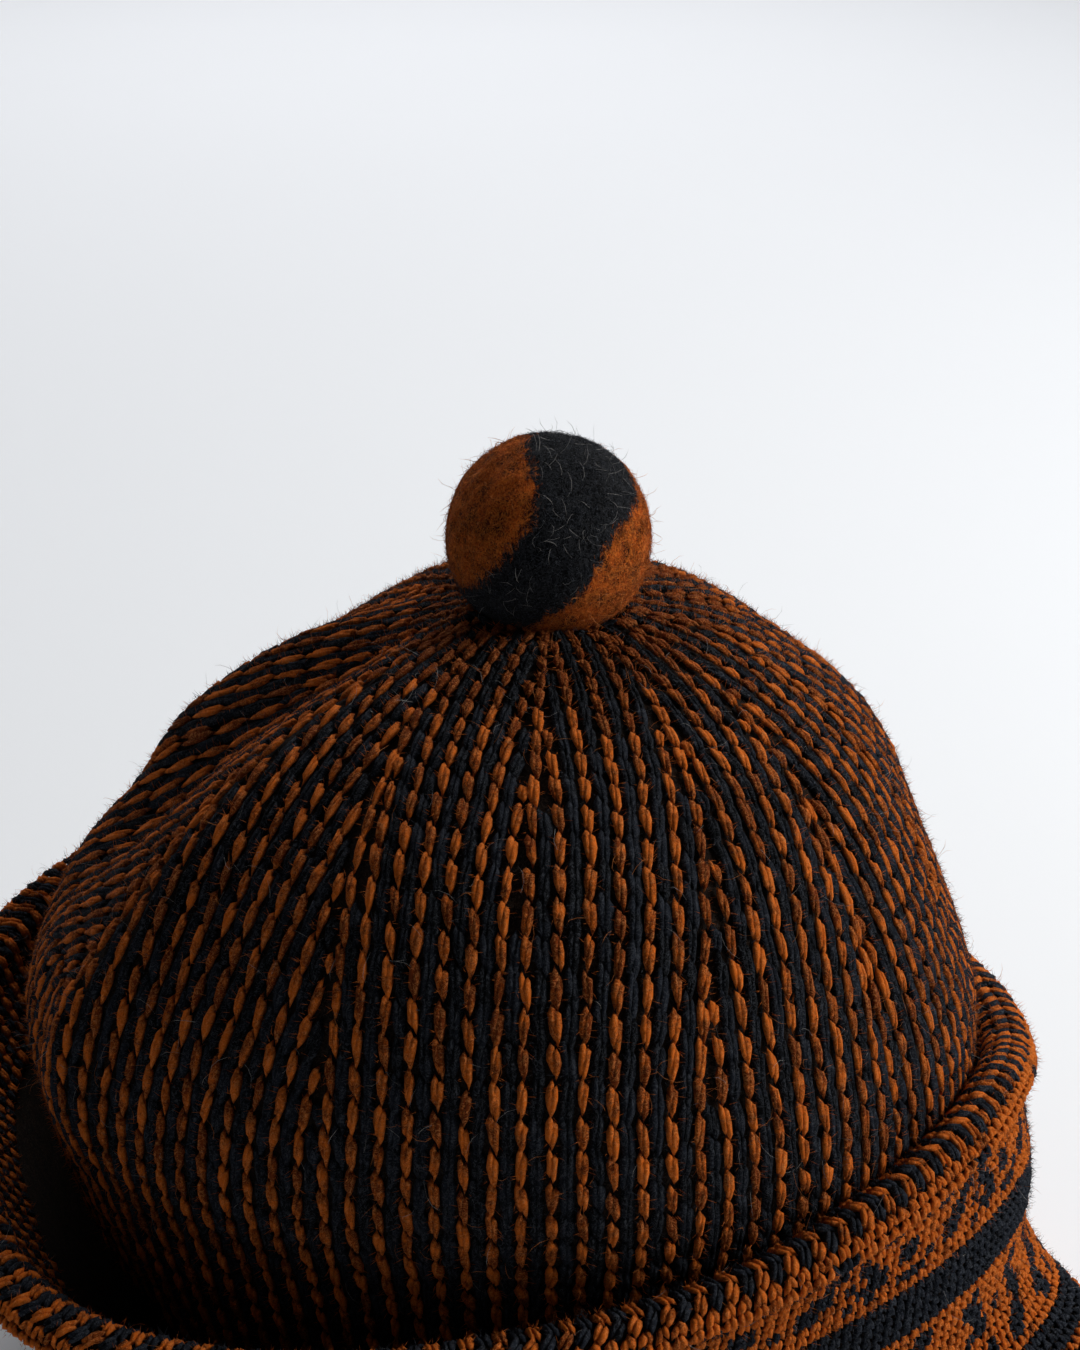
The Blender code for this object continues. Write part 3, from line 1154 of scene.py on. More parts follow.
def welded(tree: bpy.types.NodeTree, geometry: bpy.types.NodeSocket) -> bpy.types.NodeSocket:
    """Weld the points that lie on each other, and shade the outcome smooth."""
    closed = add_node(tree, "GeometryNodeMergeByDistance", {
        "Geometry": geometry, "Distance": 0.0005})
    return result(add_node(tree, "GeometryNodeSetShadeSmooth", {"Geometry": result(closed)}))


def scattered(tree: bpy.types.NodeTree, points: bpy.types.NodeSocket,
              instance: bpy.types.NodeSocket, rotation: bpy.types.NodeSocket,
              scale: bpy.types.NodeSocket) -> bpy.types.NodeSocket:
    """Put a shape on every point and make the instances real.

    Args:
        tree: The node tree.
        points: The points.
        instance: The shape.
        rotation: How it stands on each.
        scale: How large it is on each.

    Returns:
        The socket with the real geometry.
    """
    placed = add_node(tree, "GeometryNodeInstanceOnPoints", {
        "Points": points, "Instance": instance, "Rotation": rotation, "Scale": scale})
    return result(add_node(tree, "GeometryNodeRealizeInstances", {"Geometry": result(placed)}))


def turned(tree: bpy.types.NodeTree, rotation: bpy.types.NodeSocket,
           angles: bpy.types.NodeSocket) -> bpy.types.NodeSocket:
    """Turn a rotation further by angles about its own axes."""
    swung = add_node(tree, "FunctionNodeEulerToRotation", {"Euler": angles})
    return result(add_node(tree, "FunctionNodeRotateRotation", {
        "Rotation": rotation, "Rotate By": result(swung)}, rotation_space="LOCAL"))


def standing(tree: bpy.types.NodeTree) -> tuple[bpy.types.NodeSocket, bpy.types.NodeSocket]:
    """Read how a point's stitch or fibre stands and how large it is.

    Args:
        tree: A node tree whose points carry the attributes out, up and size.

    Returns:
        The sockets with the rotation and the size.
    """
    out, up, size = (
        add_node(tree, "GeometryNodeInputNamedAttribute", {"Name": name},
                 data_type="FLOAT_VECTOR") for name in ("out", "up", "size"))
    stand = add_node(tree, "FunctionNodeAxesToRotation", {
        "Primary Axis": result(out, "Attribute"), "Secondary Axis": result(up, "Attribute")},
        primary_axis="Z", secondary_axis="Y")
    return result(stand), result(size, "Attribute")


def stitch_tree() -> bpy.types.NodeTree:
    """Build the node tree that knits a stitch on each point.

    Returns:
        A tree whose points carry the attributes out, up, size and tint.
    """
    tree, given = new_tree(
        "knit_stitches",
        ("Leg Radius", "Taper", "Top Spread", "Foot Spread", "Stagger", "Rise", "Turn Jitter",
         "Size Jitter", "Lumps"), ("Sides", "Rings", "Seed"), "Yarn")
    profile = add_node(tree, "GeometryNodeCurvePrimitiveCircle", {
        "Resolution": result(given, "Sides"), "Radius": 1.0})
    way = result(add_node(tree, "GeometryNodeSplineParameter"), "Factor")
    hump = calc(tree, "MULTIPLY", way, calc(tree, "SUBTRACT", 1.0, way))
    full = calc(tree, "POWER", calc(tree, "MULTIPLY", hump, 4.0), 0.5)
    lean = calc(tree, "MULTIPLY_ADD", way, result(given, "Taper"), 1.0)
    radius = calc(tree, "MULTIPLY", calc(tree, "MULTIPLY", full, lean),
                  result(given, "Leg Radius"))
    rise, stagger = result(given, "Rise"), result(given, "Stagger")
    dip = calc(tree, "MULTIPLY", rise, -0.6)
    joined = add_node(tree, "GeometryNodeJoinGeometry")
    for side, lowered in ((-1.0, 0.0), (1.0, 1.0)):
        top_x, foot_x = (calc(tree, "MULTIPLY", result(given, spread), side)
                         for spread in ("Top Spread", "Foot Spread"))
        top_y, foot_y = (calc(tree, "MULTIPLY_ADD", stagger, -lowered, end)
                         for end in (0.5, -0.5))
        leg = add_node(tree, "GeometryNodeCurveQuadraticBezier", {
            "Resolution": result(given, "Rings"), "Start": vector(tree, top_x, top_y, dip),
            "Middle": vector(tree, calc(tree, "MULTIPLY", top_x, 1.05), 0.0, rise),
            "End": vector(tree, foot_x, foot_y, dip)})
        tree.links.new(closed_tube(tree, leg, profile, radius), joined.inputs[0])

    stand, size = standing(tree)
    seed, jitter = result(given, "Seed"), result(given, "Size Jitter")
    most = result(given, "Turn Jitter")
    turn = add_node(tree, "FunctionNodeRandomValue", {
        "Min": calc(tree, "MULTIPLY", most, -1.0), "Max": most, "Seed": seed},
        data_type="FLOAT")
    swing = vector(tree, 0.0, 0.0, result(turn))
    grow = add_node(tree, "FunctionNodeRandomValue", {
        "Min": calc(tree, "SUBTRACT", 1.0, jitter), "Max": calc(tree, "ADD", 1.0, jitter),
        "Seed": seed}, data_type="FLOAT_VECTOR")
    sized = add_node(tree, "ShaderNodeVectorMath", {0: size, 1: result(grow)},
                     operation="MULTIPLY")
    dots = add_node(tree, "GeometryNodeMeshToPoints", {"Mesh": result(given, "Geometry")})
    knit = scattered(tree, result(dots), welded(tree, result(joined)),
                     turned(tree, stand, swing), result(sized))
    place = add_node(tree, "GeometryNodeInputPosition")
    lumps = add_node(tree, "ShaderNodeTexNoise", {
        "Vector": result(place), "Scale": 1 / (0.9 * MM), "Detail": 1.0})
    middling = add_node(tree, "ShaderNodeVectorMath", {
        0: result(lumps, "Color"), 1: (0.5, 0.5, 0.5)}, operation="SUBTRACT")
    shift = add_node(tree, "ShaderNodeVectorMath", {
        0: result(middling), "Scale": result(given, "Lumps")}, operation="SCALE")
    lumpy = add_node(tree, "GeometryNodeSetPosition", {"Geometry": knit, "Offset": result(shift)})
    return finish_tree(tree, result(lumpy), result(given, "Yarn"))


def strand_tree() -> bpy.types.NodeTree:
    """Build the node tree that scatters loose fibres over a surface.

    Returns:
        A tree that takes the surface as a mesh.
    """
    tree, given = new_tree(
        "wool_strands", ("Density", "Length", "Thickness", "Curl", "Stand"), ("Seed",), "Wool")
    seed, stand, length = (result(given, name) for name in ("Seed", "Stand", "Length"))
    spots = add_node(tree, "GeometryNodeDistributePointsOnFaces", {
        "Mesh": result(given, "Geometry"), "Density": result(given, "Density"), "Seed": seed},
        distribute_method="RANDOM")
    arc = add_node(tree, "GeometryNodeCurveQuadraticBezier", {
        "Resolution": 3, "Start": (0.0, 0.0, -0.1), "Middle": vector(tree, 0.55, 0.0, stand),
        "End": vector(tree, 0.75, result(given, "Curl"), stand)})
    profile = add_node(tree, "GeometryNodeCurvePrimitiveCircle", {
        "Resolution": 3, "Radius": calc(tree, "DIVIDE", result(given, "Thickness"), length)})
    way = result(add_node(tree, "GeometryNodeSplineParameter"), "Factor")
    point = add_node(tree, "ShaderNodeMapRange", {
        "Value": way, "From Min": 0.6, "From Max": 1.0, "To Min": 1.0, "To Max": 0.0})
    strand = welded(tree, closed_tube(tree, arc, profile, result(point)))
    turn = add_node(tree, "FunctionNodeRandomValue", {
        "Min": (-0.9, -0.9, 0.0), "Max": (0.9, 0.9, 6.283), "Seed": seed},
        data_type="FLOAT_VECTOR")
    grow = add_node(tree, "FunctionNodeRandomValue", {
        "Min": (0.5, 0.5, 0.4), "Max": (1.3, 1.3, 1.5), "Seed": seed},
        data_type="FLOAT_VECTOR")
    sized = add_node(tree, "ShaderNodeVectorMath", {0: result(grow), "Scale": length},
                     operation="SCALE")
    sown = scattered(tree, result(spots, "Points"), strand,
                     turned(tree, result(spots, "Rotation"), result(turn)), result(sized))
    return finish_tree(tree, sown, result(given, "Wool"))


def nap_tree() -> bpy.types.NodeTree:
    """Build the node tree that stands one fine short fibre on each point.

    Returns:
        A tree whose points carry the attributes out, up, size and tint.
    """
    tree, given = new_tree("wool_nap", ("Thickness",), ("Sides",), "Wool")
    fibre = add_node(tree, "GeometryNodeMeshCone", {
        "Vertices": result(given, "Sides"), "Radius Top": 0.0,
        "Radius Bottom": result(given, "Thickness"), "Depth": 1.0}, fill_type="NGON")
    stand, size = standing(tree)
    dots = add_node(tree, "GeometryNodeMeshToPoints", {"Mesh": result(given, "Geometry")})
    sown = scattered(tree, result(dots), result(fibre, "Mesh"), stand, size)
    return finish_tree(tree, sown, result(given, "Wool"))


def add_piece(name: str, mesh: bpy.types.Mesh, material: bpy.types.Material | None = None
              ) -> bpy.types.Object:
    """Put a mesh in the scene as a piece of the cap, shaded smooth.

    Args:
        name: The piece's name.
        mesh: The mesh.
        material: Its material, if it has none yet.

    Returns:
        The piece.
    """
    piece = bpy.data.objects.new(name, mesh)
    if material is not None:
        mesh.materials.clear()
        mesh.materials.append(material)
    mesh.polygons.foreach_set("use_smooth", [True] * len(mesh.polygons))
    bpy.context.scene.collection.objects.link(piece)
    return piece


def grown(name: str, seeds: bpy.types.Mesh, tree: bpy.types.NodeTree, values: dict[str, Any]
          ) -> bpy.types.Object:
    """Run a node tree over a mesh and keep the outcome as a plain mesh.

    Args:
        name: The finished piece's name.
        seeds: The points or surface that the tree starts from.
        tree: The node tree.
        values: The tree's inputs by name.

    Returns:
        The piece, with no modifier left on it.
    """
    carrier = bpy.data.objects.new(name + "_seeds", seeds)
    modifier = carrier.modifiers.new("grow", "NODES")
    modifier.node_group = tree
    for item in tree.interface.items_tree:
        if item.item_type == "SOCKET" and item.in_out == "INPUT" and item.name in values:
            modifier[item.identifier] = values[item.name]
    bpy.context.scene.collection.objects.link(carrier)
    graph = bpy.context.evaluated_depsgraph_get()
    mesh = bpy.data.meshes.new_from_object(carrier.evaluated_get(graph))
    bpy.data.objects.remove(carrier)
    mesh.name = name
    places = np.empty(len(mesh.vertices) * 3, np.float32)
    mesh.vertices.foreach_get("co", places)
    places[2::3] = np.maximum(places[2::3], LOWEST)
    mesh.vertices.foreach_set("co", places)
    mesh.update()
    return add_piece(name, mesh)


def point_mesh(name: str, spots: FramedPoints, sizes: np.ndarray, tints: np.ndarray
               ) -> bpy.types.Mesh:
    """A mesh of loose points that carry what a stitch needs.

    Args:
        name: The mesh's name.
        spots: Where the stitches are and how they stand.
        sizes: Width, length and depth of each stitch.
        tints: How much lighter or darker each stitch is.

    Returns:
        The mesh.
    """
    mesh = bpy.data.meshes.new(name)
    mesh.from_pydata([tuple(p) for p in spots.place], [], [])
    for label, vectors in (("out", spots.out), ("up", spots.up), ("size", sizes)):
        layer = mesh.attributes.new(label, "FLOAT_VECTOR", "POINT")
        layer.data.foreach_set("vector", np.asarray(vectors, np.float32).ravel())
    layer = mesh.attributes.new("tint", "FLOAT", "POINT")
    layer.data.foreach_set("value", np.asarray(tints, np.float32))
    return mesh


def lofted(name: str, rings: Sequence[np.ndarray], columns: float, rows: Sequence[float],
           poles: Sequence[np.ndarray] = (), closed: bool = False) -> bpy.types.Mesh:
    """A mesh through rings of points, with a UV map named knit.

    Args:
        name: The mesh's name.
        rings: Rings with the same number of points.
        columns: The UV map's U at the end of a turn.
        rows: The UV map's V at each ring.
        poles: The points that close the first and the last ring, if any.
        closed: Whether the last ring joins the first.

    Returns:
        The mesh.
    """
    around = len(rings[0])
    points = [tuple(p) for ring in rings for p in ring]
    faces: list[tuple[int, ...]] = []
    corners: list[tuple[float, float]] = []
    pairs = list(zip(range(len(rings)), range(1, len(rings))))
    if closed:
        pairs.append((len(rings) - 1, 0))
    for low, high in pairs:
        top_row = rows[high] if high else rows[-1]
        for j in range(around):
            k = (j + 1) % around
            faces.append((low * around + j, low * around + k,
                          high * around + k, high * around + j))
            near, far = columns * j / around, columns * (j + 1) / around
            corners += [(near, rows[low]), (far, rows[low]), (far, top_row), (near, top_row)]
    for pole, ring in zip(poles, (0, len(rings) - 1)):
        points.append(tuple(pole))
        tip = len(points) - 1
        for j in range(around):
            k = (j + 1) % around
            first, second = (k, j) if ring == 0 else (j, k)
            faces.append((ring * around + first, ring * around + second, tip))
            near, far = columns * j / around, columns * (j + 1) / around
            corners += [(near, rows[ring]), (far, rows[ring]), (near, rows[ring])]
    mesh = bpy.data.meshes.new(name)
    mesh.from_pydata(points, [], faces)
    layer = mesh.uv_layers.new(name="knit")
    layer.uv.foreach_set("vector", np.asarray(corners, np.float32).ravel())
    mesh.update()
    return mesh


def face_outwards(mesh: bpy.types.Mesh) -> None:
    """Turn a closed mesh's faces outwards, by its signed volume.

    Args:
        mesh: The mesh, changed in place.
    """
    solid = bmesh.new()
    solid.from_mesh(mesh)
    volume = solid.calc_volume(signed=True)
    solid.free()
    if volume < 0:
        mesh.flip_normals()


@dataclass
class KnitTools:
    """The node trees and yarns that the sub-assemblies share."""

    stitches: bpy.types.NodeTree = field(default_factory=stitch_tree)
    strands: bpy.types.NodeTree = field(default_factory=strand_tree)
    naps: bpy.types.NodeTree = field(default_factory=nap_tree)
    nap_shape: NapShape = NapShape()
    uneven: float = 0.12
    yarns: dict[Yarn, bpy.types.Material] = field(default_factory=lambda: {
        Yarn.RUST: RUST_WOOL.material(), Yarn.CHARCOAL: CHARCOAL_WOOL.material()})
    # The dark ground under the stitches: painted shade in the gaps between them.
    ground: bpy.types.Material = field(default_factory=KNIT_SHADE.material)
    fluffs: dict[Yarn, bpy.types.Material] = field(default_factory=lambda: {
        Yarn.RUST: RUST_FLUFF.material(), Yarn.CHARCOAL: CHARCOAL_FLUFF.material()})
    nap_wools: dict[Yarn, bpy.types.Material] = field(default_factory=lambda: {
        Yarn.RUST: RUST_NAP.material(), Yarn.CHARCOAL: CHARCOAL_NAP.material()})

    def knit(self, name: str, yarn: Yarn, shape: StitchShape, spots: FramedPoints,
             sizes: np.ndarray, seed: int, shade: float | np.ndarray = 0.0
             ) -> bpy.types.Object:
        """Knit stitches of one yarn on given points.

        Args:
            name: The piece's name.
            yarn: Which yarn.
            shape: The stitch's proportions.
            spots: Where the stitches are and how they stand.
            sizes: Width, length and depth of each stitch.
            seed: Seed for the stitches' small differences.
            shade: How much darker each stitch is drawn: painted shade, and painted light where it
                is negative.

        Returns:
            The piece.
        """
        tints = np.random.default_rng(seed).normal(0, self.uneven, len(spots.place)) - shade
        values = {
            "Leg Radius": shape.leg_radius, "Taper": -shape.taper,
            "Top Spread": shape.top_spread, "Foot Spread": shape.foot_spread,
            "Stagger": shape.stagger, "Rise": shape.rise,
            "Turn Jitter": shape.turn_jitter, "Size Jitter": shape.size_jitter,
            "Lumps": shape.lumps, "Sides": shape.sides, "Rings": shape.rings, "Seed": seed,
            "Yarn": self.yarns[yarn]}
        return grown(name, point_mesh(name, spots, sizes, tints), self.stitches, values)

    def nap(self, name: str, yarn: Yarn, spots: FramedPoints, sizes: np.ndarray, each: int,
            length: float, seed: int) -> bpy.types.Object:
        """Stand fine short fibres all over the stitches of one yarn.

        Args:
            name: The piece's name.
            yarn: Which yarn.
            spots: Where the stitches are and how they stand.
            sizes: Width, length and depth of each stitch.
            each: How many fibres stand on a stitch.
            length: Their mean length.
            seed: Seed for where they stand.

        Returns:
            The piece.
        """
        chance = np.random.default_rng(seed)
        shape = self.nap_shape
        which = np.repeat(np.arange(len(sizes)), each)
        out, up = spots.out[which], spots.up[which]
        beside = unit(np.cross(up, out))
        width, tall = sizes[which, :1], sizes[which, 1:2]
        across = chance.uniform(-shape.across, shape.across, (len(which), 1))
        along = chance.uniform(-shape.along, shape.along, (len(which), 1))
        crest = shape.crest * np.sqrt(1 - (2 * across) ** 2)
        place = (spots.place[which] + beside * across * width + up * along * tall
                 + out * crest * width)
        way = unit(out * shape.upright + beside * across * shape.splay
                   + chance.normal(0, shape.unruly, out.shape))
        return self.fibres(name, yarn, FramedPoints(place, way, up), length, chance)

    def fibres(self, name: str, yarn: Yarn, roots: FramedPoints, length: float,
               chance: np.random.Generator) -> bpy.types.Object:
        """Grow short fibres from given roots, each along its root's way out.

        Args:
            name: The piece's name.
            yarn: Which yarn.
            roots: Where the fibres stand and where they point.
            length: Their mean length.
            chance: The random draws to go on with.

        Returns:
            The piece.
        """
        sizes = np.full((len(roots.place), 3), MM)
        sizes[:, 2] = length * chance.uniform(0.5, 1.5, len(sizes))
        tints = chance.normal(0, self.nap_shape.mottled, len(sizes))
        values = {"Thickness": self.nap_shape.radius_mm, "Sides": self.nap_shape.sides,
                  "Wool": self.nap_wools[yarn]}
        return grown(name, point_mesh(name, roots, sizes, tints), self.naps, values)

    def fluff(self, name: str, wool: bpy.types.Material, shape: StrandShape,
              patch: bpy.types.Mesh, seed: int) -> bpy.types.Object:
        """Scatter loose fibres of one wool over a patch of surface.

        Args:
            name: The piece's name.
            wool: Their material.
            shape: Their proportions and number.
            patch: The surface.
            seed: Seed for where they stand.

        Returns:
            The piece.
        """
        values = {
            "Density": shape.per_square_metre, "Length": shape.length,
            "Thickness": shape.thickness, "Curl": shape.curl, "Stand": shape.stand,
            "Seed": seed, "Wool": wool}
        return grown(name, patch, self.strands, values)


@dataclass
class KnitCrown:
    """The crown: its knit ground, its stitches in both yarns and its fuzz.

    Stitch columns run beside the middle of each gore and end at the lines of decreases.
    """

    form: CrownForm
    cuff: CuffForm
    tools: KnitTools
    pair_pitch: float = 0.0049
    stitch_length: float = 0.0058
    top_length: float = 0.0042
    ground_depth: float = 0.0009
    thickness: float = 0.0032
    around: int = 96
    reverse_pairs: int = 120
    reverse_rows: int = 36
    lowest: float = 0.02
    highest: float = 0.965
    equator: float = 0.46
    thinning: float = 0.22
    thinned: Ramp = Ramp(0.82, 0.12)
    narrowing: float = 0.12
    shortened: Ramp = Ramp(0.62, 0.34)
    # Painted shade: the stitches are drawn darker towards the felt ball, over the ramp's part of
    # the way up.
    apex_painted_shade: float = 0.90
    painted_shade_ramp: Ramp = Ramp(0.825, 0.06)
    least_room: float = 0.32
    least_points: int = 12
    offset: float = 0.22
    unevenness: float = 0.0014
    ahead: float = 0.006
    hidden_rim: float = 0.006
    gap_shown: float = 1.1
    row_azimuth: float = 20.0
    nap_length: float = 0.0013
    fuzz_lift: float = 0.0005
    fuzz_top: float = 0.94
    shape: StitchShape = StitchShape(
        leg_radius=0.36, taper=0.45, top_spread=0.17, foot_spread=0.08, stagger=0.20)
    hair: StrandShape = StrandShape(0.0050, 0.000032, 0.60, 0.30, 9000)

    def build(self) -> list[bpy.types.Object]:
        """Build every piece of the crown."""
        return [self.ground(), *self.stitches(), *self.fuzz()]

    def ground(self) -> bpy.types.Object:
        """The shell under the stitches, whose inside is the knit's reverse and whose outside is
        dark with painted shade.
        """
        azimuth = np.arange(self.around) * 360 / self.around - 180
        shares = np.concatenate([[0.0], np.linspace(0.03, 0.90, 34), np.linspace(0.92, 0.985, 5)])
        skins = []
        for depth in (self.thickness, self.ground_depth):
            skins.append([self.form.framed(azimuth, np.full_like(azimuth, share)).shifted(-depth)
                          for share in shares])
        for ring in (skins[0][0], skins[1][0]):
            ring[:, 2] = GROUND_FOOT
        rings = skins[0][::-1] + skins[1]
        apex = self.form.point(np.zeros(1), np.ones(1))[0]
        poles = (apex - [0, 0, self.thickness], apex - [0, 0, self.ground_depth])
        rows = self.reverse_rows * np.concatenate([shares[::-1], shares])
        mesh = lofted("crown_ground", rings, self.reverse_pairs, rows, poles)
        face_outwards(mesh)
        piece = add_piece("crown_ground", mesh, KNIT_REVERSE.material())
        mesh.materials.append(self.tools.ground)
        wall = self.around * (len(shares) - 1)
        caps = len(mesh.polygons) - 2 * self.around
        inner_cap = range(caps, caps + self.around)
        outside = [int(i >= wall and i not in inner_cap) for i in range(len(mesh.polygons))]
        mesh.polygons.foreach_set("material_index", outside)
        return piece

    def foot_share(self, azimuth: np.ndarray) -> np.ndarray:
        """Where the shown stitches start: below the cuff's edge by what its gap shows.

        Args:
            azimuth: Azimuths in degrees.

        Returns:
            Shares of the way up the knit.
        """
        columns = [r.rim for r in CUFF_SECTIONS]
        stand_off = round_through([r.azimuth for r in CUFF_SECTIONS], columns, azimuth)
        gap = np.maximum(stand_off, 0) * self.cuff.splay
        shown = self.hidden_rim + self.gap_shown * gap
        return self.form.share_at(self.cuff.top(azimuth) - self.cuff.roll_radius - shown)

    def columns(self) -> list[tuple[Yarn, np.ndarray, np.ndarray]]:
        """The stitch columns as lines over the crown.

        Returns:
            For each column its yarn, azimuths and shares of the way up.
        """
        share = np.linspace(self.lowest, self.highest, 700)
        thinned = 1 - self.thinning * self.thinned.at(share)
        found = []
        first = GORE_EDGES[0]
        again = first._replace(azimuth_low=first.azimuth_low + 360,
                               azimuth_high=first.azimuth_high + 360)
        for low, high in zip(GORE_EDGES, (*GORE_EDGES[1:], again)):
            left, right = low.line(share), high.line(share)
            middle, width = (left + right) / 2, np.radians(right - left)
            guide = left * low.lead + right * (1 - low.lead)
            radius = self.form.radius_at(middle, share)
            wide = width * radius
            full = float(np.interp(self.equator, share, wide))
            pairs = max(round(full / self.pair_pitch), 1)
            kept = np.maximum(wide / full, thinned)
            stretch = np.where(share < self.equator, wide / full, kept)
            found.append((Yarn.RUST, left, share))
            for k in range(1, 2 * pairs):
                aside = (k / (2 * pairs) + low.lead - 1) * full * stretch
                line = guide + np.degrees(aside / radius)
                room = np.radians(np.minimum(line - left, right - line)) * radius
                live = room > self.least_room * self.pair_pitch * thinned
                yarn = Yarn.RUST if k % 2 == 0 else Yarn.CHARCOAL
                if live.sum() > self.least_points:
                    found.append((yarn, line[live], share[live]))
        return found

    def row_shares(self) -> np.ndarray:
        """The shares of the way up at which the rows of stitches lie, all round the crown."""
        shares = np.linspace(0, 1, 801)
        radius = self.form.radius_at(np.full_like(shares, self.row_azimuth), shares)
        steps = np.hypot(np.diff(radius), np.diff(self.form.height_at(shares)))
        arc = np.concatenate([[0], np.cumsum(steps)])
        at, found = self.lowest, []
        while at < self.highest:
            found.append(at)
            shorter = (self.top_length - self.stitch_length) * float(self.shortened.at(at))
            length = self.stitch_length + shorter
            at = float(np.interp(np.interp(at, shares, arc) + length, arc, shares))
        return np.array(found)

    def places(self) -> dict[Yarn, np.ndarray]:
        """Where the stitches of each yarn lie.

        Returns:
            For each yarn an array with a row for each stitch: its azimuth, its share of
            the way up, its length, its width's share and its column's azimuth just above.
        """
        chance = np.random.default_rng(11)
        gathered: dict[Yarn, list[np.ndarray]] = {yarn: [] for yarn in Yarn}
        rows = self.row_shares()
        row_step = rows[1] - rows[0]
        for yarn, azimuth, share in self.columns():
            phase = chance.uniform(-self.offset, self.offset) * row_step
            line = self.form.point(azimuth, share)
            steps = np.linalg.norm(np.diff(line, axis=0), axis=1)
            arc = np.concatenate([[0], np.cumsum(steps)])
            foot = self.foot_share(azimuth[:1])[0]
            lengths = np.gradient(np.interp(rows, share, arc))
            for row, length in zip(rows, lengths):
                way = row + phase + chance.uniform(-1, 1) * self.unevenness
                if not foot < way < share[-1]:
                    continue
                broad = 1 - self.narrowing * float(self.shortened.at(way))
                gathered[yarn].append(np.array([
                    np.interp(way, share, azimuth), way, length, broad,
                    np.interp(way + self.ahead, share, azimuth)]))
        return {yarn: np.array(found) for yarn, found in gathered.items()}

    def stitches(self) -> list[bpy.types.Object]:
        """Stitches along every column with their nap, two pieces for each yarn."""
        pieces = []
        for yarn, places in self.places().items():
            wale = CROWN_WALES[yarn]
            azimuth, share, length, broad, above = places.T
            spots = self.form.framed(azimuth, share)
            higher = self.form.point(above, np.minimum(share + self.ahead, 0.999))
            up = unit(higher - spots.place)
            width = self.pair_pitch * 0.5 * broad * wale.broad
            sizes = np.stack([width, length * wale.long, width], -1)
            spots = FramedPoints(spots.shifted(-wale.sunk), spots.out, up)
            shape = replace(self.shape, sides=wale.sides)
            # Painted shade: the stitches darken as they near the felt ball.
            shade = self.apex_painted_shade * self.painted_shade_ramp.at(share)
            name = f"crown_stitches_{yarn.value}"
            pieces.append(self.tools.knit(
                name, yarn, shape, spots, sizes, wale.seed, shade))
            pieces.append(self.tools.nap(
                f"crown_nap_{yarn.value}", yarn, spots, sizes, wale.nap,
                self.nap_length, wale.seed + 1))
            LOG.info("%s: %d stitches", name, len(sizes))
        return pieces

    def patch(self) -> bpy.types.Mesh:
        """The shown part of the crown's surface, for fibres to root in."""
        azimuth = np.arange(self.around) * 360 / self.around - 180
        foot = self.form.share_at(self.cuff.top(azimuth) + 0.001)
        rings = []
        for step in np.linspace(0, 1, 40):
            share = foot + (self.fuzz_top - foot) * step
            rings.append(self.form.framed(azimuth, share).shifted(self.fuzz_lift))
        return lofted("crown_patch", rings, 1, np.zeros(len(rings)))

    def fuzz(self) -> list[bpy.types.Object]:
        """Loose long fibres over the shown stitches."""
        return [self.tools.fluff(f"crown_hairs_{yarn.value}", self.tools.fluffs[yarn],
                                 self.hair, self.patch(), seed)
                for seed, yarn in ((33, Yarn.RUST), (34, Yarn.CHARCOAL))]


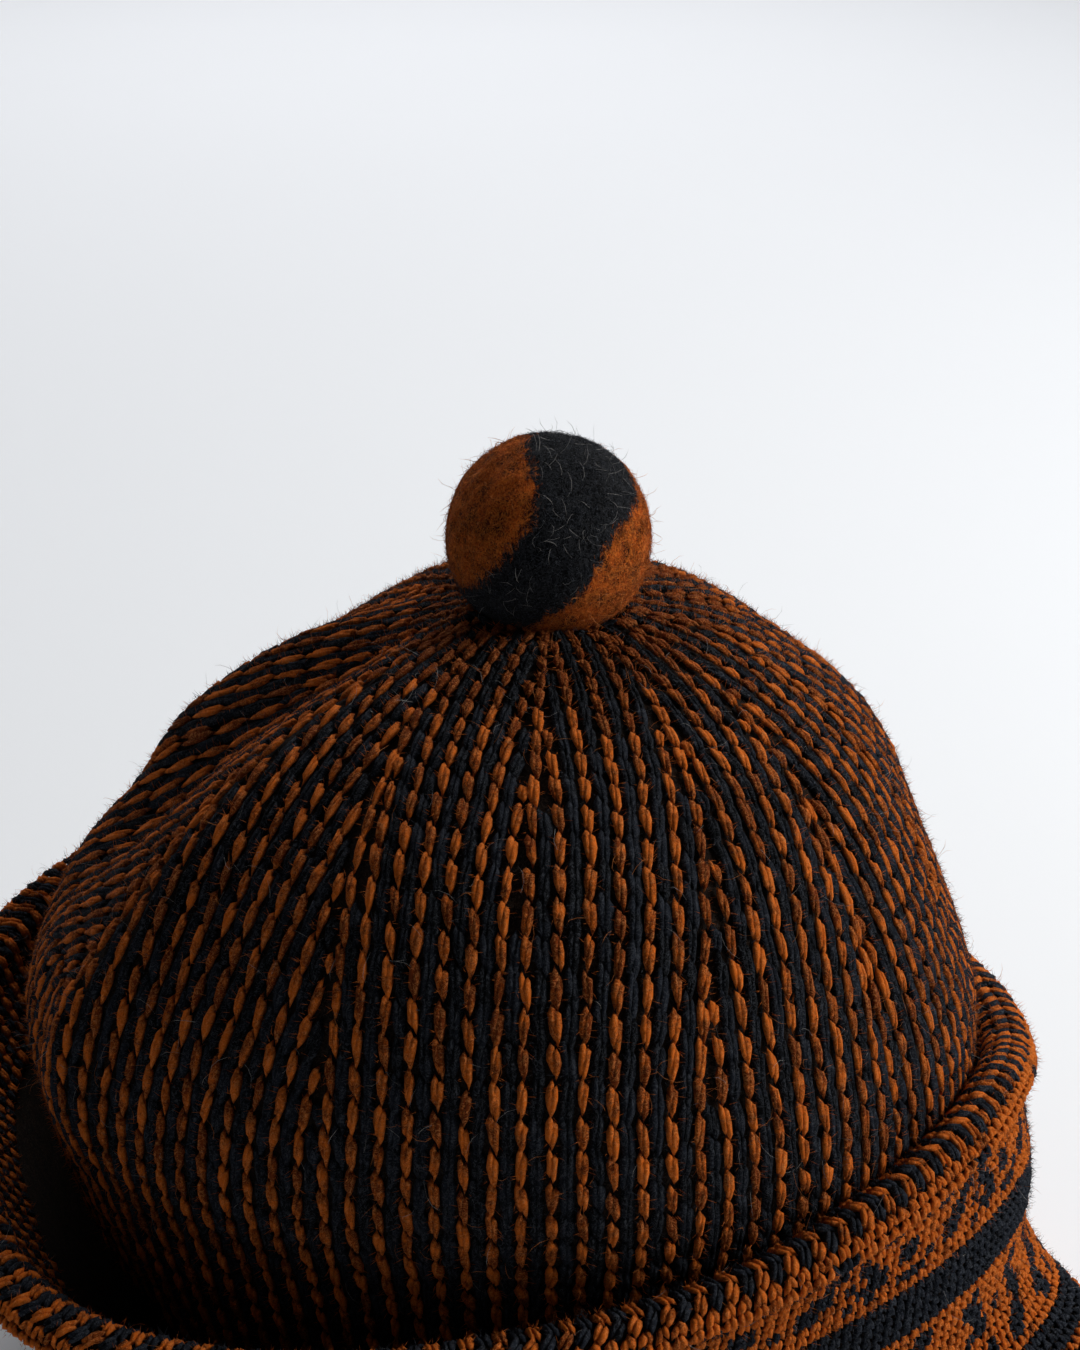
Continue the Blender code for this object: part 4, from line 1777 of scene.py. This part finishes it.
@dataclass
class KnitCuff:
    """The turned-up cuff: a ribbed roll at its edge and charted rows of stitches below it."""

    form: CuffForm
    tools: KnitTools
    columns: int = 240
    column_reach: float = 0.02
    width_reach: float = 0.03
    row_height: float = 0.00235
    first_row: float = -0.0042
    edge_row: float = 0.0013
    edge_overlap: float = 0.6
    upper_rows: int = 17
    row_broad: float = 1.12
    row_long: float = 1.28
    # Negative, so the cuff's rows are drawn lighter than the same yarns on the crown: painted
    # light.
    row_shade: float = -0.20
    row_nap: float = 0.0013
    upper_naps: int = 4
    lower_naps: int = 3
    rib_length: float = 0.0034
    rib_long: float = 1.22
    rib_slant: float = 27.0
    rib_leans: tuple[int, ...] = (1, -1, 0)
    # Negative, so the ribs over the roll are drawn lighter too: painted light.
    rib_shade: float = -0.12
    rib_nap: float = 0.0012
    rib_naps: int = 5
    least_ribs: int = 4
    most_more_ribs: int = 5
    rim_per_rib: float = 0.12
    sunk: float = 0.0001
    ground_depth: float = 0.0009
    around: int = 200
    fuzz_top: float = -0.014
    fuzz_foot: float = 0.004
    fuzz_lift: float = 0.0005
    patch_around: int = 120
    row_shape: StitchShape = StitchShape(
        leg_radius=0.245, taper=0.15, top_spread=0.38, foot_spread=0.09, stagger=0.0,
        rise=0.34, sides=4, rings=3, turn_jitter=0.10, size_jitter=0.14)
    rib_shape: StitchShape = StitchShape(
        leg_radius=0.30, taper=0.15, top_spread=0.20, foot_spread=0.18, rise=0.5,
        sides=4, rings=4)
    hair: StrandShape = StrandShape(0.0048, 0.000032, 0.60, 0.30, 5000)

    def build(self) -> list[bpy.types.Object]:
        """Build every piece of the cuff."""
        return [self.ground(), *self.ribs(), *self.rows(), *self.fuzz()]

    def rib_rows(self, azimuth: float) -> int:
        """How many rows of ribs show at an azimuth: more where the cuff stands off the crown.

        Args:
            azimuth: The azimuth in degrees.

        Returns:
            The number of rows.
        """
        columns = [r.rim for r in CUFF_SECTIONS]
        off = round_through([r.azimuth for r in CUFF_SECTIONS], columns, np.array([azimuth]))
        more = np.clip(float(off[0]) / self.rim_per_rib, 0, self.most_more_ribs)
        return self.least_ribs + int(more)

    def column_azimuths(self, count: int) -> np.ndarray:
        """Azimuths of columns spaced evenly round the outside.

        Args:
            count: How many columns.

        Returns:
            The azimuths in degrees.
        """
        azimuth = np.linspace(-180, 180, 1441)
        line = self.form.point(azimuth, np.full_like(azimuth, self.column_reach))
        arc = np.concatenate([[0], np.cumsum(np.linalg.norm(np.diff(line, axis=0), axis=1))])
        return np.interp((np.arange(count) + 0.5) / count * arc[-1], arc, azimuth)

    def ground(self) -> bpy.types.Object:
        """The doubled knit that the stitches lie on, dark with painted shade in the gaps between
        them.
        """
        azimuth = np.arange(self.around) * 360 / self.around - 180
        radius, height = self.form.outline(azimuth)
        turn = np.radians(azimuth)
        rings = []
        for out, up in zip(radius[::2], height[::2]):
            ring = np.stack([out * np.sin(turn), -out * np.cos(turn), up + 0 * out], -1)
            rings.append(ring - self.form.crown.centre)
        stack = np.array(rings)
        along = np.roll(stack, -1, axis=0) - np.roll(stack, 1, axis=0)
        across = np.roll(stack, -1, axis=1) - np.roll(stack, 1, axis=1)
        out = unit(np.cross(along, across))
        stack = stack + out * self.ground_depth * self.inward(stack, out)
        stack[..., 2] = np.maximum(stack[..., 2], GROUND_FOOT)
        rows = np.arange(len(stack)) * 1.0
        mesh = lofted("cuff_ground", list(stack), self.columns / 2, rows, closed=True)
        face_outwards(mesh)
        return add_piece("cuff_ground", mesh, self.tools.ground)

    @staticmethod
    def inward(stack: np.ndarray, out: np.ndarray) -> float:
        """The sign that turns `out` into the wall, tested on the roll's outermost ring.

        Args:
            stack: The wall's rings of points.
            out: A unit vector for each point.

        Returns:
            Plus or minus one.
        """
        ring = int(np.argmax(np.linalg.norm(stack[..., :2], axis=-1).mean(axis=1)))
        outward = unit(stack[ring] * [1, 1, 0])
        return -1.0 if (out[ring] * outward).sum(-1).mean() > 0 else 1.0

    def ribs(self) -> list[bpy.types.Object]:
        """The ribs of single columns that turn over the rolled edge, down to the chart.

        On the roll they lean one way and then the other, as in a plaited edge.
        """
        azimuths = self.column_azimuths(self.columns)
        pieces = []
        for parity, (yarn, rib_width, seed) in enumerate(CUFF_RIBS):
            places = []
            for column in range(parity, self.columns, len(CUFF_RIBS)):
                at = self.first_row - self.rib_length / 2
                for step in range(self.rib_rows(azimuths[column])):
                    lean = self.rib_leans[min(step, len(self.rib_leans) - 1)]
                    places.append((azimuths[column], at, self.rib_slant * lean))
                    at -= self.rib_length
            azimuth, reach, slants = np.array(places).T
            spots = self.form.framed(azimuth, reach)
            slant = np.radians(slants)[:, None]
            beside = np.cross(spots.up, spots.out)
            up = unit(spots.up * np.cos(slant) + beside * np.sin(slant))
            width = np.full_like(reach, rib_width)
            length = np.full_like(reach, self.rib_length * self.rib_long)
            sizes = np.stack([width, length, width], -1)
            spots = FramedPoints(spots.shifted(-self.sunk), spots.out, up)
            name = f"cuff_ribs_{yarn.value}"
            pieces.append(self.tools.knit(
                name, yarn, self.rib_shape, spots, sizes, seed, self.rib_shade))
            pieces.append(self.tools.nap(
                f"cuff_roll_nap_{yarn.value}", yarn, spots, sizes, self.rib_naps,
                self.rib_nap, seed + 1))
            LOG.info("%s: %d stitches", name, len(sizes))
        return pieces

    @staticmethod
    def charted(row: int, column: int) -> Yarn:
        """The yarn of a stitch: from the chart, and in plain stripes below it.

        Args:
            row: The stitch's row, from the roll down.
            column: Its column.

        Returns:
            The yarn.
        """
        if row >= len(CUFF_CHART):
            return Yarn.CHARCOAL if column % 2 == 1 else Yarn.RUST
        line = CUFF_CHART[row]
        return Yarn.CHARCOAL if line[column % len(line)] == "x" else Yarn.RUST

    def places(self) -> dict[tuple[str, str], np.ndarray]:
        """Where the charted stitches lie, with an even rust row along the lower edge.

        Returns:
            By yarn and part, upper or lower, an array with a row for each stitch: its
            azimuth, its reach and its column's width.
        """
        azimuths = self.column_azimuths(self.columns)
        floor = self.form.reach_to_floor(azimuths)
        found: dict[tuple[str, str], list[tuple[float, float, float]]] = {}
        reaches = np.full_like(azimuths, self.width_reach)
        degree = self.form.point(azimuths + 0.5, reaches) - self.form.point(
            azimuths - 0.5, reaches)
        spacing = np.linalg.norm(degree, axis=1) * np.gradient(azimuths)
        for column, azimuth in enumerate(azimuths):
            row = 0
            reach = self.first_row + self.row_height / 2
            last = floor[column] - self.edge_row
            while reach < last - self.edge_overlap * self.row_height:
                part = "upper" if row < self.upper_rows else "lower"
                key = (self.charted(row, column).value, part)
                found.setdefault(key, []).append((azimuth, reach, spacing[column]))
                reach += self.row_height
                row += 1
            edge = found.setdefault((Yarn.RUST.value, "lower"), [])
            edge.append((azimuth, last, spacing[column]))
        return {key: np.array(found[key]) for key in sorted(found)}

    def rows(self) -> list[bpy.types.Object]:
        """The charted rows below the roll, in an upper and a lower piece for each yarn."""
        pieces = []
        for order, ((label, part), places) in enumerate(self.places().items()):
            yarn = Yarn(label)
            azimuth, reach, across = places.T
            spots = self.form.framed(azimuth, reach)
            width = across * self.row_broad
            length = np.full_like(width, self.row_height * self.row_long)
            sizes = np.stack([width, length, width], -1)
            spots = FramedPoints(spots.shifted(-self.sunk), spots.out, spots.up)
            naps = self.upper_naps if part == "upper" else self.lower_naps
            name = f"cuff_rows_{part}_{label}"
            pieces.append(self.tools.knit(
                name, yarn, self.row_shape, spots, sizes, 500 + order, self.row_shade))
            pieces.append(self.tools.nap(
                f"cuff_nap_{part}_{label}", yarn, spots, sizes, naps, self.row_nap,
                600 + order))
            LOG.info("%s: %d stitches", name, len(sizes))
        return pieces

    def patch(self) -> bpy.types.Mesh:
        """The cuff's outside and the top of its roll, for fibres to root in."""
        azimuth = np.arange(self.patch_around) * 360 / self.patch_around - 180
        floor = self.form.reach_to_floor(azimuth)
        rings = []
        for step in np.linspace(1, 0, 30):
            reach = self.fuzz_top + (floor - self.fuzz_foot - self.fuzz_top) * step
            rings.append(self.form.framed(azimuth, reach).shifted(self.fuzz_lift))
        return lofted("cuff_patch", rings, 1, np.zeros(len(rings)))

    def fuzz(self) -> list[bpy.types.Object]:
        """Loose long fibres over the cuff."""
        return [self.tools.fluff(f"cuff_hairs_{yarn.value}", self.tools.fluffs[yarn],
                                 self.hair, self.patch(), seed)
                for seed, yarn in ((43, Yarn.RUST), (44, Yarn.CHARCOAL))]


@dataclass
class FeltBall:
    """The felted ball on the apex, with its charcoal swirl and short fuzz."""

    form: CrownForm
    tools: KnitTools
    subdivisions: int = 6
    lump: float = 0.00018
    waves: int = 26
    lumpy: Ramp = Ramp(-0.35, 0.4)
    dented: Ramp = Ramp(-0.45, 0.5)
    nap_count: int = 13000
    nap_length: float = 0.0013
    mingled: float = 0.035
    nap_clearance: float = 0.001
    patch_subdivisions: int = 4
    patch_overlap: float = 0.02
    patch_clearance: float = 0.002
    hair: StrandShape = StrandShape(0.0040, 0.000036, 0.90, 0.14, 200000)

    def build(self) -> list[bpy.types.Object]:
        """Build the ball and its fuzz."""
        return [self.ball(), *self.fuzz()]

    def centre(self) -> np.ndarray:
        """The ball's centre in the frame."""
        return np.array([0, 0, self.form.ball_centre()]) - self.form.centre

    @staticmethod
    def direction(azimuth: np.ndarray, elevation: np.ndarray) -> np.ndarray:
        """Unit vectors from azimuths and elevations in degrees.

        Args:
            azimuth: The azimuths.
            elevation: An elevation for each.

        Returns:
            The vectors, a row for each.
        """
        turn, lift = np.radians(azimuth), np.radians(elevation)
        flat = np.cos(lift)
        return np.stack([flat * np.sin(turn), -flat * np.cos(turn), np.sin(lift)], -1)

    def radius_over(self, way: np.ndarray) -> np.ndarray:
        """The ball's radius along unit vectors, dents included.

        Args:
            way: Unit vectors, a row for each.

        Returns:
            The radii.
        """
        depth = np.zeros(len(way))
        for dent in POMPOM_DENTS:
            middle = self.direction(np.array(dent.azimuth), np.array(dent.elevation))
            apart = np.degrees(np.arccos(np.clip(way @ middle, -1, 1))) / dent.spread
            depth += dent.depth * np.exp(-(apart**2))
        return self.form.ball_diameter / 2 * (1 - depth * self.dented.at(way[:, 2]))

    def charcoal_side(self, way: np.ndarray) -> np.ndarray:
        """How far inside the charcoal band each direction is, over the ball's radius.

        Args:
            way: Unit vectors, a row for each.

        Returns:
            Positive inside the band, negative outside.
        """
        stations = np.array(BALL_BAND)
        middles = self.direction(stations[:, 0], stations[:, 1])
        best = np.full(len(way), -9.0)
        for (a, b), (wide, next_wide) in zip(
                zip(middles, middles[1:]), zip(stations[:, 2], stations[1:, 2])):
            for share in np.linspace(0, 1, 12):
                middle = unit(a * (1 - share) + b * share)
                reach = wide * (1 - share) + next_wide * share
                apart = np.arccos(np.clip(way @ middle, -1, 1))
                best = np.maximum(best, reach - apart)
        return best

    def ball(self) -> bpy.types.Object:
        """The felt ball itself."""
        made = bmesh.new()
        bmesh.ops.create_icosphere(made, subdivisions=self.subdivisions, radius=1.0)
        mesh = bpy.data.meshes.new("pompom_felt")
        made.to_mesh(mesh)
        made.free()
        way = np.empty(len(mesh.vertices) * 3)
        mesh.vertices.foreach_get("co", way)
        way = unit(way.reshape(-1, 3))
        chance = np.random.default_rng(5)
        lumps = np.zeros(len(way))
        for _ in range(self.waves):
            axis, phase = unit(chance.normal(size=3)), chance.uniform(0, 6.28)
            lumps += np.sin(way @ axis * chance.uniform(9, 30) + phase) / self.waves**0.5
        radius = self.radius_over(way) + lumps * self.lump * self.lumpy.at(way[:, 2])
        points = self.centre() + way * radius[:, None]
        mesh.vertices.foreach_set("co", points.astype(np.float32).ravel())
        layer = mesh.attributes.new("charcoal_side", "FLOAT", "POINT")
        layer.data.foreach_set("value", self.charcoal_side(way).astype(np.float32))
        mesh.update()
        return add_piece("pompom_felt", mesh, BALL_FELT.material())

    def patch(self, yarn: Yarn) -> bpy.types.Mesh:
        """The part of the ball's surface that is felted from one yarn.

        Args:
            yarn: Which yarn.

        Returns:
            The mesh.
        """
        made = bmesh.new()
        bmesh.ops.create_icosphere(made, subdivisions=self.patch_subdivisions, radius=1.0)
        way = unit(np.array([v.co[:] for v in made.verts]))
        side = self.charcoal_side(way)
        points = self.centre() + way * self.radius_over(way)[:, None]
        drop = []
        for vert, point, share in zip(made.verts, points, side):
            vert.co = point
            wrong = share > 0 if yarn is Yarn.RUST else share < self.patch_overlap
            if wrong or point[2] < self.form.height + self.patch_clearance:
                drop.append(vert)
        bmesh.ops.delete(made, geom=drop, context="VERTS")
        mesh = bpy.data.meshes.new("pompom_patch")
        made.to_mesh(mesh)
        made.free()
        return mesh

    def fuzz(self) -> list[bpy.types.Object]:
        """Short fibres matted along the felt, and a few long pale ones over them."""
        chance = np.random.default_rng(51)
        way = unit(chance.normal(size=(self.nap_count, 3)))
        lie = unit(np.cross(way, chance.normal(size=way.shape)))
        place = self.centre() + way * self.radius_over(way)[:, None]
        stray = chance.normal(0, self.mingled, len(way))
        dark = self.charcoal_side(way) + stray > 0
        clear = place[:, 2] > self.form.height + self.nap_clearance
        pieces = []
        for yarn, mine in ((Yarn.RUST, clear & ~dark), (Yarn.CHARCOAL, clear & dark)):
            out = unit(lie[mine] + way[mine] * chance.uniform(0.1, 0.6, (mine.sum(), 1)))
            roots = FramedPoints(place[mine], out, way[mine])
            pieces.append(self.tools.fibres(
                f"pompom_nap_{yarn.value}", yarn, roots, self.nap_length, chance))
        for seed, yarn in ((53, Yarn.RUST), (54, Yarn.CHARCOAL)):
            pieces.append(self.tools.fluff(
                f"pompom_hairs_{yarn.value}", self.tools.fluffs[yarn], self.hair,
                self.patch(yarn), seed))
        return pieces


@dataclass
class Studio:
    """The pale seamless stage, the soft lights and the camera at the photograph's angle."""

    aim: tuple[float, float, float] = (0.0028, 0.0025, 0.142)
    distance: float = 0.425
    elevation: float = 25.0
    lens_mm: float = 50.0
    sensor_mm: float = 30.0
    floor_rings: tuple[float, ...] = (0.3, 1.0, 2.0)
    floor_radius: float = 3.0
    floor_around: int = 96
    wall_height: float = 2.6
    bend: float = 1.2
    lit_height: float = 0.1
    sky: str = "F2F4F8"
    sky_strength: float = 0.045

    def build(self) -> None:
        """Set up the stage, lights and camera."""
        self.stage()
        self.lights()
        self.camera()

    def stage(self) -> None:
        """A round floor that curves up into a wall, so that it is seamless from every side."""
        flat = (*self.floor_rings, self.floor_radius)
        profile = [(radius, 0.0) for radius in flat]
        for angle in np.linspace(10, 90, 9):
            turn = math.radians(angle)
            profile.append((self.floor_radius + self.bend * math.sin(turn),
                            self.bend * (1 - math.cos(turn))))
        profile.append((self.floor_radius + self.bend, self.wall_height))
        turn = np.radians(np.arange(self.floor_around) * 360 / self.floor_around)
        rings = [np.stack([r * np.sin(turn), -r * np.cos(turn), np.full_like(turn, z)], -1)
                 for r, z in reversed(profile)]
        mesh = lofted("studio_floor", rings, 1, np.zeros(len(rings)))
        made = bmesh.new()
        made.from_mesh(mesh)
        inner = [e for e in made.edges if e.is_boundary and e.verts[0].co.length < 0.5]
        bmesh.ops.contextual_create(made, geom=inner)
        bmesh.ops.recalc_face_normals(made, faces=made.faces)
        made.to_mesh(mesh)
        made.free()
        floor = add_piece("studio_floor", mesh, PaperFinish().material())

    def lights(self) -> None:
        """The three soft lights, all turned to the cap, and an even sky."""
        for light in STUDIO_LIGHTS:
            lamp = bpy.data.lights.new(light.name, "AREA")
            lamp.shape = "DISK"
            lamp.size = light.size
            lamp.energy = light.watts
            lamp.color = linear(light.colour)[:3]
            holder = bpy.data.objects.new(light.name, lamp)
            holder.location = light.place
            away = Vector(light.place) - Vector((0, 0, self.lit_height))
            holder.rotation_euler = away.to_track_quat("Z", "Y").to_euler()
            bpy.context.scene.collection.objects.link(holder)
        world = bpy.data.worlds.new("studio_sky")
        world.use_nodes = True
        sky = world.node_tree.nodes["Background"]
        sky.inputs["Color"].default_value = linear(self.sky)
        sky.inputs["Strength"].default_value = self.sky_strength
        bpy.context.scene.world = world
        bpy.context.scene.view_settings.view_transform = "Standard"

    def camera(self) -> None:
        """The camera, level across, looking down at the cap from in front."""
        data = bpy.data.cameras.new("photo_camera")
        data.lens = self.lens_mm
        data.sensor_width = self.sensor_mm
        data.clip_start = 0.02
        data.clip_end = 30.0
        camera = bpy.data.objects.new("photo_camera", data)
        lift = math.radians(self.elevation)
        back = Vector((0, -math.cos(lift), math.sin(lift)))
        camera.location = Vector(self.aim) + back * self.distance
        camera.rotation_euler = back.to_track_quat("Z", "Y").to_euler()
        bpy.context.scene.collection.objects.link(camera)
        bpy.context.scene.camera = camera


def fasten(pieces: Sequence[bpy.types.Object], node: str) -> None:
    """Fix pieces to the cap's body in place of a CAD node.

    Args:
        pieces: The pieces.
        node: The CAD node's name.
    """
    for piece in pieces:
        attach(piece, BODY)
    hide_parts(node)


def main() -> None:
    """Build the cap's sub-assemblies in order and report each piece."""
    logging.basicConfig(level=logging.INFO, format="%(message)s", stream=sys.stdout)
    Studio().build()
    crown_form = CrownForm()
    cuff_form = CuffForm(crown_form)
    tools = KnitTools()
    assemblies = (
        (KnitCrown(crown_form, cuff_form, tools), "crown", "crown_wool"),
        (KnitCuff(cuff_form, tools), "cuff", "cuff_wool"),
        (FeltBall(crown_form, tools), "pompom", "pompom_felt"),
    )
    total = 0
    for assembly, node, slot in assemblies:
        pieces = assembly.build()
        fasten(pieces, node)
        for piece in pieces:
            count = sum(len(face.vertices) - 2 for face in piece.data.polygons)
            total += count
            LOG.info("%s: %d triangles", piece.name, count)
    LOG.info("all pieces: %d triangles", total)


if __name__ == "__main__":
    main()
